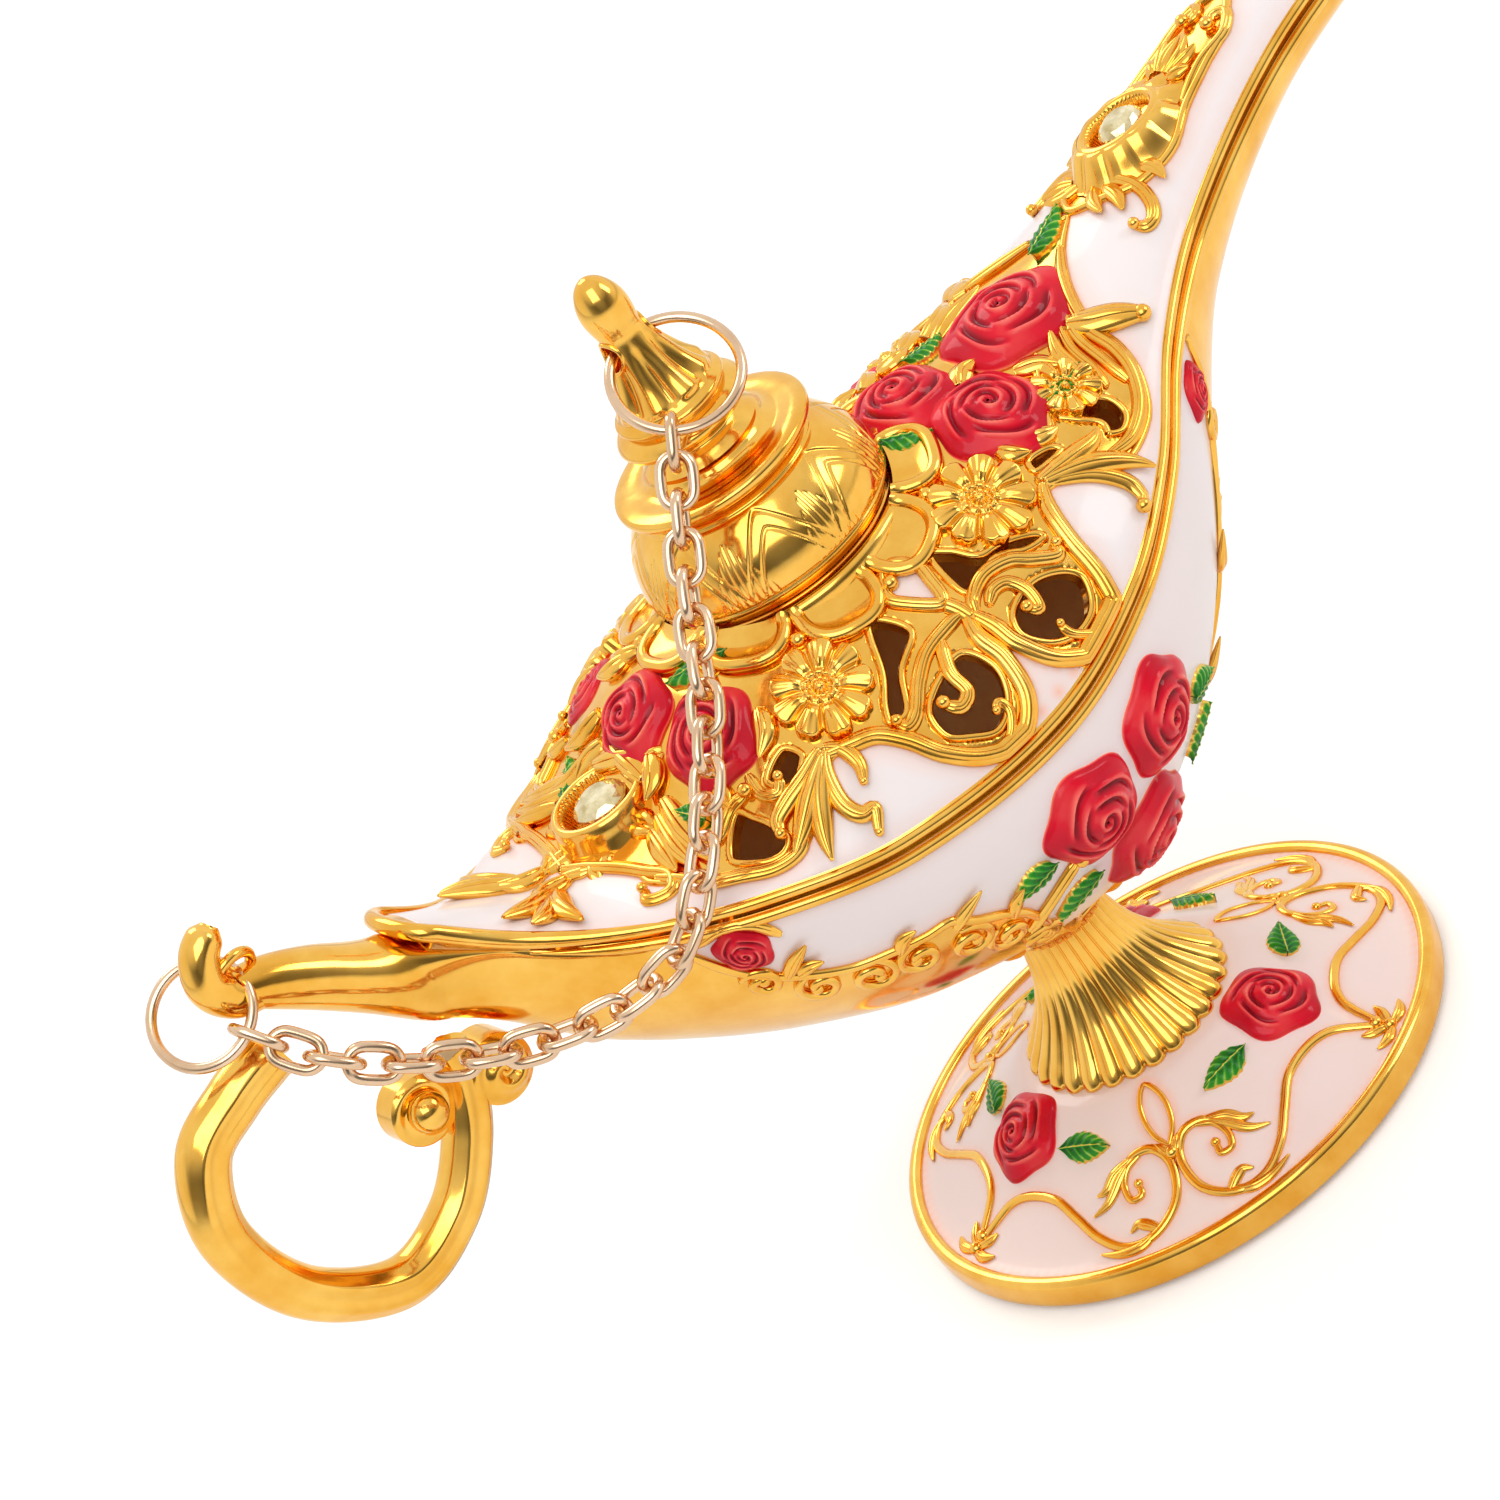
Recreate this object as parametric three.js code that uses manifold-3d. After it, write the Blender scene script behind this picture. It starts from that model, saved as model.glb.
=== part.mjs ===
// Enamelled genie lamp: castings, wire rings and chain links, each its own solid.
// Millimetres, +Z up, +X towards the spout, the foot's underside on z = 0.
import * as THREE from 'three';
import { mergeVertices } from 'three/addons/utils/BufferGeometryUtils.js';
import Module from 'manifold-3d';

const wasm = await Module();
wasm.setup();

// Clearances
const SEAM = 0.3; // gap left where two castings meet
const WALL = 1.4; // casting thickness of bowl and cover

// Foot, stem and screw
const FOOT_RADIUS = 20;
const FOOT_RIM_HEIGHT = 2.2;
const FOOT_RING_WIDTH = 2.6;
const FOOT_SHELL = 1.5;
const FOOT_ROSE_RADIUS = 2.5;
const FOOT_ROSE_SHARE = 0.25; // place of the roses between the stem and the foot's edge
const FOOT_ROSE_TURN = THREE.MathUtils.degToRad(-66);
const STEM_BASE_RADIUS = 7.7;
const STEM_BASE_HEIGHT = 7.3;
const STEM_WAIST_RADIUS = 3.2;
const STEM_TOP_RADIUS = 4.4;
const STEM_FLUTES = 16;
const SCREW_RADIUS = 1.5;
const SCREW_HEAD_RADIUS = 3;
const SCREW_HEAD_HEIGHT = 1.6;
const BOSS_WALL = 1.6;
const BOSS_DEPTH = 4;

// Hull: bowl below the seam, pierced cover above it
const TAIL_REACH = 36;
const SPOUT_REACH = 57.3;
const HALF_BEAM = 19.1;
const RIM_HEIGHT = 37.6;
const SHEER_RISE = 14;
const BOWL_DEPTH = 19.3;
const CROWN_HEIGHT = 14;
const RIM_LIP = 0.5;
const RIM_LIP_HEIGHT = 1.3;
const COVER_EDGE = 0.9;
const COVER_SETBACK = 1.8; // the cover ends this far before the hull's tail end
const TAIL_SOLID_LENGTH = 7; // the hull's tail is solid over this length

// Mouth, collar and lid
const MOUTH_RADIUS = 8;
const COLLAR_RISE = 12.8; // top of the mouth's collar above the rim amidships
const COLLAR_RADIUS = 9.4;
const PETAL_RADIUS = 10.9;
const PETALS = 10;
const PLUG_CLEARANCE = 0.4;
const PLUG_DEPTH = 3.2;
const DOME_RADIUS = 8.74;
const DOME_HEIGHT = 6.6;
const FLANGE_RADIUS = 7.04;
const FLANGE_HEIGHT = 1.1;
const LID_WALL = 1.5;

// Finial
const FINIAL_HEIGHT = 13.15;
const FINIAL_BASE_RADIUS = 4.9;
const FINIAL_FLUTES = 8;
const FINIAL_EYE_HEIGHT = 8;
const EYE_RADIUS = 1;

// Gem cups
const TAIL_CUP_X = -19.8;
const SPOUT_CUP_X = 36;
const CUP_RADIUS = 2.9;
const CUP_WALL = 0.7;
const CUP_RISE = 1.3;
const CUP_POCKET = 1.7;

// Wire rings and chain
const WIRE_RADIUS = 0.35;
const WIRE_GAP = 0.26;
const LINK_COUNT = 26;
const LINK_INNER_WIDTH = 1.4;
const RING_SLACK = 0.2; // how far a ring has slid into the eye that it hangs in
const LID_RING_RADIUS = 4.05;
const HANDLE_RING_RADIUS = 3.3;

// Cast relief
const ROSE_RISE = 1.7;
const LEAF_RISE = 0.6;
const EDGE_RADIUS = 0.4;
const RELIEF_ROOT = 0.8; // how deep the relief reaches into its casting

// Tail hook and handle
const HOOK_REACH = 8.5; // the hook's eye behind the hull's tail end
const HOOK_RISE = 19.8; // and above the rim amidships
const HOOK_EYE_RADIUS = 1.15;
const HOOK_EYE_WALL = 0.9;
const HANDLE_HALF_WIDTH = 1.8;
const VOLUTE_RADIUS = 2.3;

// Lines of the hull from tail to spout: share of reach, beam, sheer rise, bowl depth, crown.
const HULL_LINES = [
  [-1.0, 0.115, 1.05, 0.38, 0.04],
  [-0.861, 0.272, 0.657, 0.477, 0.13],
  [-0.722, 0.524, 0.436, 0.596, 0.13],
  [-0.556, 0.754, 0.264, 0.73, 0.33],
  [-0.333, 0.932, 0.093, 0.865, 0.79],
  [0, 1, 0, 1, 0.96],
  [0.175, 0.906, 0.075, 0.94, 0.9],
  [0.314, 0.733, 0.243, 0.81, 0.67],
  [0.436, 0.54, 0.5, 0.63, 0.4],
  [0.576, 0.36, 0.68, 0.36, 0.286],
  [0.785, 0.245, 0.886, 0.22, 0.23],
  [1, 0.215, 1, 0.18, 0.21],
];

const GOLD = 0xe6b03c;
const ENAMEL = 0xf3dfd8;
const ROSE_GOLD = 0xd9a878;
const CRYSTAL = 0xf2efe6;
const STEEL = 0xb9bcc0;

// Welds a geometry, drops its empty triangles and turns its faces outwards.
function weld(geometry) {
  const bare = new THREE.BufferGeometry();
  bare.setAttribute('position', geometry.getAttribute('position').clone());
  bare.setIndex(geometry.index ? geometry.index.clone() : null);
  const merged = mergeVertices(bare, 1e-4);
  const from = merged.index.array;
  const kept = [];
  for (let i = 0; i < from.length; i += 3) {
    const [a, b, c] = [from[i], from[i + 1], from[i + 2]];
    if (a !== b && b !== c && c !== a) kept.push(a, b, c);
  }
  const at = (k) => new THREE.Vector3().fromBufferAttribute(merged.attributes.position, k);
  let volume = 0;
  for (let i = 0; i < kept.length; i += 3) {
    volume += at(kept[i]).dot(at(kept[i + 1]).cross(at(kept[i + 2])));
  }
  if (volume < 0) kept.reverse();
  merged.setIndex(kept);
  return merged;
}

function toSolid(geometry) {
  const clean = weld(geometry);
  const mesh = new wasm.Mesh({
    numProp: 3,
    vertProperties: new Float32Array(clean.attributes.position.array),
    triVerts: new Uint32Array(clean.index.array),
  });
  return new wasm.Manifold(mesh);
}

function toGeometry(solid) {
  const mesh = solid.getMesh();
  const geometry = new THREE.BufferGeometry();
  geometry.setAttribute('position', new THREE.BufferAttribute(new Float32Array(mesh.vertProperties), 3));
  geometry.setIndex(new THREE.BufferAttribute(new Uint32Array(mesh.triVerts), 1));
  return geometry;
}

const join = (pieces) => pieces.map(toSolid).reduce((all, one) => all.add(one));

// Skins equal rings of points into one solid; a closed loft joins its last ring to its first.
function loft(rings, closed = false) {
  const sides = rings[0].length;
  const positions = rings.flat().flatMap((p) => [p.x, p.y, p.z]);
  const index = [];
  const spans = closed ? rings.length : rings.length - 1;
  for (let i = 0; i < spans; i++) {
    for (let j = 0; j < sides; j++) {
      const a = i * sides + j;
      const b = i * sides + ((j + 1) % sides);
      const c = ((i + 1) % rings.length) * sides + j;
      const d = ((i + 1) % rings.length) * sides + ((j + 1) % sides);
      index.push(a, b, d, a, d, c);
    }
  }
  if (!closed) {
    for (const [ring, first] of [[0, 0], [rings.length - 1, (rings.length - 1) * sides]]) {
      const middle = new THREE.Vector3();
      rings[ring].forEach((p) => middle.addScaledVector(p, 1 / sides));
      const centre = positions.length / 3;
      positions.push(middle.x, middle.y, middle.z);
      for (let j = 0; j < sides; j++) {
        const edge = [first + j, first + ((j + 1) % sides)];
        if (ring === 0) edge.reverse();
        index.push(centre, ...edge);
      }
    }
  }
  const geometry = new THREE.BufferGeometry();
  geometry.setAttribute('position', new THREE.Float32BufferAttribute(positions, 3));
  geometry.setIndex(index);
  return geometry;
}

function lathe(profile, segments) {
  const points = profile.map(([r, z]) => new THREE.Vector2(r, z));
  return new THREE.LatheGeometry(points, segments).rotateX(Math.PI / 2);
}

function rod(radius, bottom, top, segments = 16) {
  return lathe([[0, bottom], [radius, bottom], [radius, top], [0, top]], segments);
}

// A bar along a curve in the plane y = 0, with its own half thickness at each place.
function planeBar(points, halfThickness, halfWidth, steps, sides = 10) {
  const curve = new THREE.CatmullRomCurve3(points.map(([x, z]) => new THREE.Vector3(x, 0, z)));
  const rings = [];
  for (let i = 0; i <= steps; i++) {
    const t = i / steps;
    const centre = curve.getPointAt(t);
    const along = curve.getTangentAt(t);
    const across = new THREE.Vector3(-along.z, 0, along.x);
    const ring = [];
    for (let j = 0; j < sides; j++) {
      const a = (2 * Math.PI * j) / sides;
      const p = centre.clone().addScaledVector(across, halfThickness(t) * Math.cos(a));
      p.y += halfWidth(t) * Math.sin(a);
      ring.push(p);
    }
    rings.push(ring);
  }
  return loft(rings);
}

// Places that follow from the rim and the tail.
const COLLAR_TOP = RIM_HEIGHT + COLLAR_RISE;
const COVER_TAIL = TAIL_REACH - COVER_SETBACK;
const HULL_TAIL_CLOSED = TAIL_REACH - TAIL_SOLID_LENGTH;
const HOOK_EYE = new THREE.Vector3(-TAIL_REACH - HOOK_REACH, 0, RIM_HEIGHT + HOOK_RISE);

// Hull lines at any x: smooth curves through the rows of HULL_LINES.
const hullRows = HULL_LINES.map(([along, beam, rise, depth, crown]) => ({
  x: along * (along < 0 ? TAIL_REACH : SPOUT_REACH),
  size: [beam * HALF_BEAM, rise * SHEER_RISE, depth * BOWL_DEPTH, crown * CROWN_HEIGHT],
}));

function station(x) {
  const last = hullRows.length - 1;
  const slope = (i, k) => {
    const before = hullRows[Math.max(i - 1, 0)];
    const after = hullRows[Math.min(i + 1, last)];
    return (after.size[k] - before.size[k]) / (after.x - before.x);
  };
  let i = 0;
  while (i < last - 1 && x > hullRows[i + 1].x) i++;
  const span = hullRows[i + 1].x - hullRows[i].x;
  const t = THREE.MathUtils.clamp((x - hullRows[i].x) / span, 0, 1);
  const value = (k) =>
    (2 * t ** 3 - 3 * t ** 2 + 1) * hullRows[i].size[k] +
    (t ** 3 - 2 * t ** 2 + t) * span * slope(i, k) +
    (3 * t ** 2 - 2 * t ** 3) * hullRows[i + 1].size[k] +
    (t ** 3 - t ** 2) * span * slope(i + 1, k);
  const [beam, rise, depth, crown] = [0, 1, 2, 3].map(value);
  const wall = Math.min(WALL, 0.4 * depth, 0.4 * beam);
  return { beam, rim: RIM_HEIGHT + rise, depth, crown, wall };
}

const ARC_SIDES = 12;

// Bowl section: the rim's lip, then the round from the near rim under the keel to the far rim.
function bowlRing(x) {
  const s = station(x);
  const top = s.rim - SEAM / 2;
  const lip = Math.min(RIM_LIP_HEIGHT, 0.5 * s.depth);
  const ring = [new THREE.Vector3(x, -s.beam - RIM_LIP, top)];
  ring.push(new THREE.Vector3(x, -s.beam - RIM_LIP, top - lip));
  for (let i = 1; i < ARC_SIDES; i++) {
    const a = (Math.PI * i) / ARC_SIDES;
    const z = Math.min(top - lip, top - s.depth * Math.sin(a));
    ring.push(new THREE.Vector3(x, -s.beam * Math.cos(a), z));
  }
  ring.push(new THREE.Vector3(x, s.beam + RIM_LIP, top - lip));
  ring.push(new THREE.Vector3(x, s.beam + RIM_LIP, top));
  return ring;
}

// Height of the cover's outer surface above the plan position (x, y).
function coverHeight(x, y) {
  const s = station(x);
  const share = Math.min(Math.abs(y) / s.beam, 1);
  const edge = Math.min(COVER_EDGE, 0.4 * s.crown);
  return s.rim + SEAM / 2 + edge + (s.crown - edge) * (1 - share ** 2) ** 0.75;
}

function coverRing(x) {
  const s = station(x);
  const ring = [new THREE.Vector3(x, -s.beam, s.rim + SEAM / 2)];
  for (let i = 0; i <= ARC_SIDES; i++) {
    const y = -s.beam * Math.cos((Math.PI * i) / ARC_SIDES);
    ring.push(new THREE.Vector3(x, y, coverHeight(x, y)));
  }
  ring.push(new THREE.Vector3(x, s.beam, s.rim + SEAM / 2));
  return ring;
}

// The hollow inside bowl or cover, running past the seam plane.
function hollowRing(x, above) {
  const s = station(x);
  const side = above ? 1 : -1;
  const beam = s.beam - s.wall;
  const height = (above ? s.crown : s.depth) - s.wall;
  const ring = [new THREE.Vector3(x, -beam, s.rim - side * 2)];
  for (let i = 0; i <= ARC_SIDES; i++) {
    const a = (Math.PI * i) / ARC_SIDES;
    const bulge = Math.max(height, 0.2) * Math.sin(a) ** (above ? 1.5 : 1);
    ring.push(new THREE.Vector3(x, -beam * Math.cos(a), s.rim + side * bulge));
  }
  ring.push(new THREE.Vector3(x, beam, s.rim - side * 2));
  return ring;
}

// Stations shared by bowl and cover, so that their faces along the seam run parallel.
const spread = (from, to, count) =>
  Array.from({ length: count + 1 }, (_, i) => from + ((to - from) * i) / count);
const coverStations = spread(-COVER_TAIL, SPOUT_REACH, 26);
const bowlStations = [-TAIL_REACH, ...coverStations];
const hollowStations = spread(-HULL_TAIL_CLOSED, SPOUT_REACH + 2, 18);

// Foot: a thin domed disc standing on a flat ring.
const footPlateTop = STEM_BASE_HEIGHT - SEAM;
const footHole = SCREW_RADIUS + SEAM;
const footRingInner = FOOT_RADIUS - FOOT_RING_WIDTH;

function footSurface(share) {
  const r = THREE.MathUtils.lerp(STEM_BASE_RADIUS + 0.8, FOOT_RADIUS - 1.4, share);
  const z = FOOT_RIM_HEIGHT - 0.3 + (footPlateTop - FOOT_RIM_HEIGHT + 0.3) * (1 - share) ** 1.25;
  return [r, z];
}

function onFoot(share, turn) {
  const [r, z] = footSurface(share);
  return new THREE.Vector3(r * Math.cos(turn), r * Math.sin(turn), z);
}

function makeFoot() {
  const steps = [0, 0.2, 0.4, 0.6, 0.8, 1];
  const profile = [
    [footHole, footPlateTop],
    ...steps.map(footSurface),
    [FOOT_RADIUS - 1.1, FOOT_RIM_HEIGHT],
    [FOOT_RADIUS - 0.4, FOOT_RIM_HEIGHT],
    [FOOT_RADIUS, FOOT_RIM_HEIGHT - 0.4],
    [FOOT_RADIUS, 0.4],
    [FOOT_RADIUS - 0.4, 0],
    [footRingInner, 0],
    [footRingInner - 0.3, 0.5],
    ...steps.slice(0, 4).reverse().map(footSurface).map(([r, z]) => [r - 0.4, z - FOOT_SHELL]),
    [footHole, footPlateTop - FOOT_SHELL],
  ];
  const plate = toSolid(lathe([...profile, profile[0]], 32));
  const roses = [0, 1, 2].map((k) => {
    const frame = surfaceFrame(onFoot, FOOT_ROSE_SHARE, FOOT_ROSE_TURN + (2 * Math.PI * k) / 3, 1);
    return rose(frame, FOOT_ROSE_RADIUS);
  });
  return toGeometry(plate.add(join(roses)));
}

// Stem: flutes that fade out at both ends, round a bore for the screw.
const stemTop = RIM_HEIGHT - BOWL_DEPTH - SEAM / 2 - SEAM;

function makeStem() {
  const height = stemTop - STEM_BASE_HEIGHT;
  const outline = [
    [0, STEM_BASE_RADIUS],
    [0.05, STEM_BASE_RADIUS],
    [0.16, STEM_BASE_RADIUS - 1.2],
    [0.32, STEM_BASE_RADIUS - 2.6],
    [0.5, STEM_BASE_RADIUS - 3.6],
    [0.68, STEM_WAIST_RADIUS + 0.3],
    [0.84, STEM_WAIST_RADIUS],
    [0.94, STEM_TOP_RADIUS - 0.5],
    [1, STEM_TOP_RADIUS],
  ];
  const sides = STEM_FLUTES * 3;
  const stack = outline.map(([share, radius]) =>
    Array.from({ length: sides }, (_, j) => {
      const a = (2 * Math.PI * j) / sides;
      const wave = 0.05 * Math.sin(Math.PI * share) * Math.cos(STEM_FLUTES * a);
      const r = radius * (1 + wave);
      return new THREE.Vector3(r * Math.cos(a), r * Math.sin(a), STEM_BASE_HEIGHT + share * height);
    })
  );
  const bore = rod(footHole, STEM_BASE_HEIGHT - 1, stemTop + 1);
  return toGeometry(toSolid(loft(stack)).subtract(toSolid(bore)));
}

function makeScrew() {
  const headTop = footPlateTop - FOOT_SHELL - SEAM;
  const tip = stemTop + SEAM + BOSS_DEPTH - SEAM;
  const profile = [
    [0, headTop - SCREW_HEAD_HEIGHT],
    [SCREW_HEAD_RADIUS - 0.6, headTop - SCREW_HEAD_HEIGHT],
    [SCREW_HEAD_RADIUS, headTop - 0.6],
    [SCREW_HEAD_RADIUS, headTop],
    [SCREW_RADIUS, headTop],
    [SCREW_RADIUS, tip - 0.5],
    [SCREW_RADIUS - 0.5, tip],
    [0, tip],
  ];
  return lathe(profile, 16);
}

// A frame on a surface: origin at its point (u, v), x along u and z along the outward normal.
function surfaceFrame(point, u, v, facing) {
  const step = 0.02;
  const along = point(u + step, v).sub(point(u - step, v)).normalize();
  const other = point(u, v + step).sub(point(u, v - step));
  const normal = new THREE.Vector3().crossVectors(along, other).multiplyScalar(facing).normalize();
  const across = new THREE.Vector3().crossVectors(normal, along);
  return new THREE.Matrix4().makeBasis(along, across, normal).setPosition(point(u, v));
}

// Relief cast with the piece that carries it: roses in two steps, low leaves and raised edges.
function rose(frame, radius) {
  const profile = [
    [0, -RELIEF_ROOT],
    [radius, -RELIEF_ROOT],
    [radius, 0.4],
    [0.75 * radius, 0.95],
    [0.45 * radius, 1.1],
    [0.3 * radius, ROSE_RISE],
    [0, ROSE_RISE],
  ];
  return lathe(profile, 10).applyMatrix4(frame);
}

function leaf(frame, length, width, turn) {
  const lump = new THREE.SphereGeometry(1, 6, 4).rotateX(Math.PI / 2);
  lump.scale(length / 2, width, LEAF_RISE).rotateZ(THREE.MathUtils.degToRad(turn));
  return lump.applyMatrix4(frame);
}

function wireAlong(points, steps) {
  const wire = new THREE.Shape();
  wire.absellipse(0, 0, EDGE_RADIUS, EDGE_RADIUS, 0, 2 * Math.PI, false, 0);
  return new THREE.ExtrudeGeometry(wire, {
    steps,
    curveSegments: 2,
    bevelEnabled: false,
    extrudePath: new THREE.CatmullRomCurve3(points),
  });
}

function raisedEdge(rows, place, steps) {
  const plan = new THREE.CatmullRomCurve3(rows.map(([u, v]) => new THREE.Vector3(u, v, 0)));
  return wireAlong(plan.getPoints(steps).map(({ x, y }) => place(x, y)), steps);
}

// Places on the bowl's flank: side is -1 near and +1 far, drop runs from rim 0 to keel 1.
function onBowl(x, side, drop) {
  const s = station(x);
  const a = (drop * Math.PI) / 2;
  return new THREE.Vector3(x, side * s.beam * Math.cos(a), s.rim - SEAM / 2 - s.depth * Math.sin(a));
}

const bowlFrame = (x, side, drop) => surfaceFrame((u, v) => onBowl(u, side, v), x, drop, side);

// Relief on each flank of the bowl: x, drop and size; leaves also have their width and turn.
const BOWL_ROSES = [
  [6.8, 0.2, 3.1], [-1.6, 0.21, 3.4], [2.7, 0.48, 3.3],
  [-23.2, 0.12, 1.7], [24.6, 0.16, 1.7],
];
const BOWL_LEAVES = [
  [-6.4, 0.27, 3.6, 1, 15], [-3.4, 0.43, 4, 1.1, 30],
  [11.2, 0.24, 4, 1.1, -40], [10, 0.42, 4, 1.1, -70],
];
const BOWL_EDGE = [
  [-25.2, 0.06], [-23, 0.22], [-18, 0.31], [-12.2, 0.28], [-7.4, 0.4], [-4.4, 0.62], [2, 0.84],
  [10, 0.78], [17, 0.6], [23.2, 0.42], [26.4, 0.06],
];

// Tail: a round bar that leaves the hull behind the cover and thins towards the hook.
function tailRing([x, centre, halfHeight, halfWidth]) {
  return Array.from({ length: 14 }, (_, j) => {
    const a = (2 * Math.PI * j) / 14;
    return new THREE.Vector3(x, halfWidth * Math.cos(a), centre + halfHeight * Math.sin(a));
  });
}

const hookTurn = new THREE.Vector3(-0.03, -0.82, -0.57).normalize();
const hookPull = new THREE.Vector3(-0.95, 0.2, -0.24);
hookPull.addScaledVector(hookTurn, -hookPull.dot(hookTurn)).normalize();

function makeBowl() {
  const rimAtTail = station(-COVER_TAIL).rim;
  const tail = [
    [-COVER_TAIL - 0.4, rimAtTail - 3.6, 4.0, 3.1],
    [-COVER_TAIL - 2, rimAtTail - 2.3, 3.8, 2.95],
    [HOOK_EYE.x + 4.5, HOOK_EYE.z - 5.3, 3, 2.35],
    [HOOK_EYE.x + 1.5, HOOK_EYE.z - 2.5, 2.3, 1.85],
    [HOOK_EYE.x - 0.3, HOOK_EYE.z - 1.3, 1.6, 1.5],
  ];
  const hook = planeBar(
    [
      [HOOK_EYE.x + 0.9, HOOK_EYE.z - 2],
      [HOOK_EYE.x - 0.9, HOOK_EYE.z - 1.1],
      [HOOK_EYE.x - 1.7, HOOK_EYE.z + 0.6],
      [HOOK_EYE.x - 0.9, HOOK_EYE.z + 2.4],
      [HOOK_EYE.x + 0.8, HOOK_EYE.z + 3.3],
    ],
    (t) => 1.35 - 0.35 * t ** 3,
    (t) => 1.5 - 0.5 * t ** 3,
    14
  );
  const eyeWeb = new THREE.SphereGeometry(HOOK_EYE_RADIUS + HOOK_EYE_WALL, 14, 10);
  eyeWeb.scale(1, 0.6, 1).translate(HOOK_EYE.x, HOOK_EYE.y, HOOK_EYE.z);
  const drill = new THREE.CylinderGeometry(HOOK_EYE_RADIUS, HOOK_EYE_RADIUS, 8, 14);
  drill.applyQuaternion(new THREE.Quaternion().setFromUnitVectors(new THREE.Vector3(0, 1, 0), hookTurn));
  drill.translate(HOOK_EYE.x, HOOK_EYE.y, HOOK_EYE.z);

  const hull = toSolid(loft(bowlStations.map(bowlRing)));
  const hollow = toSolid(loft(hollowStations.map((x) => hollowRing(x, false))));
  const keel = RIM_HEIGHT - SEAM / 2 - BOWL_DEPTH;
  const boss = rod(footHole + BOSS_WALL, keel + 0.4, keel + BOSS_DEPTH + BOSS_WALL);
  const tapped = rod(footHole, keel - 1, keel + BOSS_DEPTH);
  const relief = [-1, 1].flatMap((side) => [
    ...BOWL_ROSES.map(([x, drop, radius]) => rose(bowlFrame(x, side, drop), radius)),
    ...BOWL_LEAVES.map(([x, drop, length, width, turn]) =>
      leaf(bowlFrame(x, side, drop), length, width, turn * side)
    ),
    raisedEdge(BOWL_EDGE, (x, drop) => onBowl(x, side, drop), 22),
  ]);
  const outside = hull.add(join([...relief, loft(tail.map(tailRing)), hook, eyeWeb]));
  const inside = hollow.subtract(toSolid(boss));
  return toGeometry(outside.subtract(inside).subtract(join([tapped, drill])));
}

const onCover = (x, y) => new THREE.Vector3(x, y, coverHeight(x, y));
const coverFrame = (x, y) => surfaceFrame(onCover, x, y, 1);

// Pierced windows of the near half: x, y, half length, half width, turn in degrees.
const WINDOWS = [
  [-3.1, -16.9, 2.9, 1.7, 8],
  [5, -16.8, 3, 1.4, -8],
  [-4.4, -13.4, 3.4, 1.5, 36],
  [3.6, -12.9, 2.2, 1.4, -54],
  [-17.8, -12.5, 2, 1.5, 60],
  [-13.2, -12.2, 1.5, 0.8, 0],
  [13, -11.5, 1.5, 0.8, 10],
  [17.8, -11.6, 1.9, 1.4, 0],
];

function windowCutter([x, y, halfLength, halfWidth, turn], side) {
  const shape = new THREE.Shape();
  shape.absellipse(0, 0, halfLength, halfWidth, 0, 2 * Math.PI, false, 0);
  const cutter = new THREE.ExtrudeGeometry(shape, { depth: 8, bevelEnabled: false, curveSegments: 5 });
  cutter.translate(0, 0, -5).rotateZ(THREE.MathUtils.degToRad(turn * -side));
  return cutter.applyMatrix4(coverFrame(x, y * -side));
}

// Scroll wires: place, half length and half width of a spiral round a window, start angle and turning.
const SCROLLS = [
  [-3.1, -16.9, 3.6, 2.2, 150, -430],
  [5, -16.8, 3.6, 2, 30, 430],
  [17.8, -11.6, 2.4, 1.9, 60, 330],
  [-17.8, -12.5, 2.3, 2.1, 120, -330],
];

function scrollWire([x, y, halfLength, halfWidth, startAngle, turning], side) {
  const frame = coverFrame(x, y * -side);
  const points = Array.from({ length: 12 }, (_, i) => {
    const t = i / 11;
    const a = THREE.MathUtils.degToRad((startAngle + turning * t) * -side);
    const share = 1 - 0.72 * t;
    const along = halfLength * share * Math.cos(a);
    const across = halfWidth * share * Math.sin(a);
    return new THREE.Vector3(along, across, 0.1 - 0.5 * t).applyMatrix4(frame);
  });
  return wireAlong(points, 10);
}

// Daisies: a petalled disc with a bead in the middle.
const DAISIES = [[-8.1, -11.6], [7.7, -11.1]];
const DAISY_PETALS = 9;

function daisy([x, y], side) {
  const outline = Array.from({ length: DAISY_PETALS * 2 }, (_, i) => {
    const a = (2 * Math.PI * i) / (DAISY_PETALS * 2);
    const r = 3.05 + 0.45 * Math.cos(DAISY_PETALS * a);
    return new THREE.Vector2(r * Math.cos(a), r * Math.sin(a));
  });
  const disc = new THREE.ExtrudeGeometry(new THREE.Shape(outline), { depth: 1.9, bevelEnabled: false });
  const bead = new THREE.SphereGeometry(0.9, 6, 4).translate(0, 0, 0.9);
  const frame = coverFrame(x, y * -side);
  return [disc.translate(0, 0, -1.2), bead].map((piece) => piece.applyMatrix4(frame));
}

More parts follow.
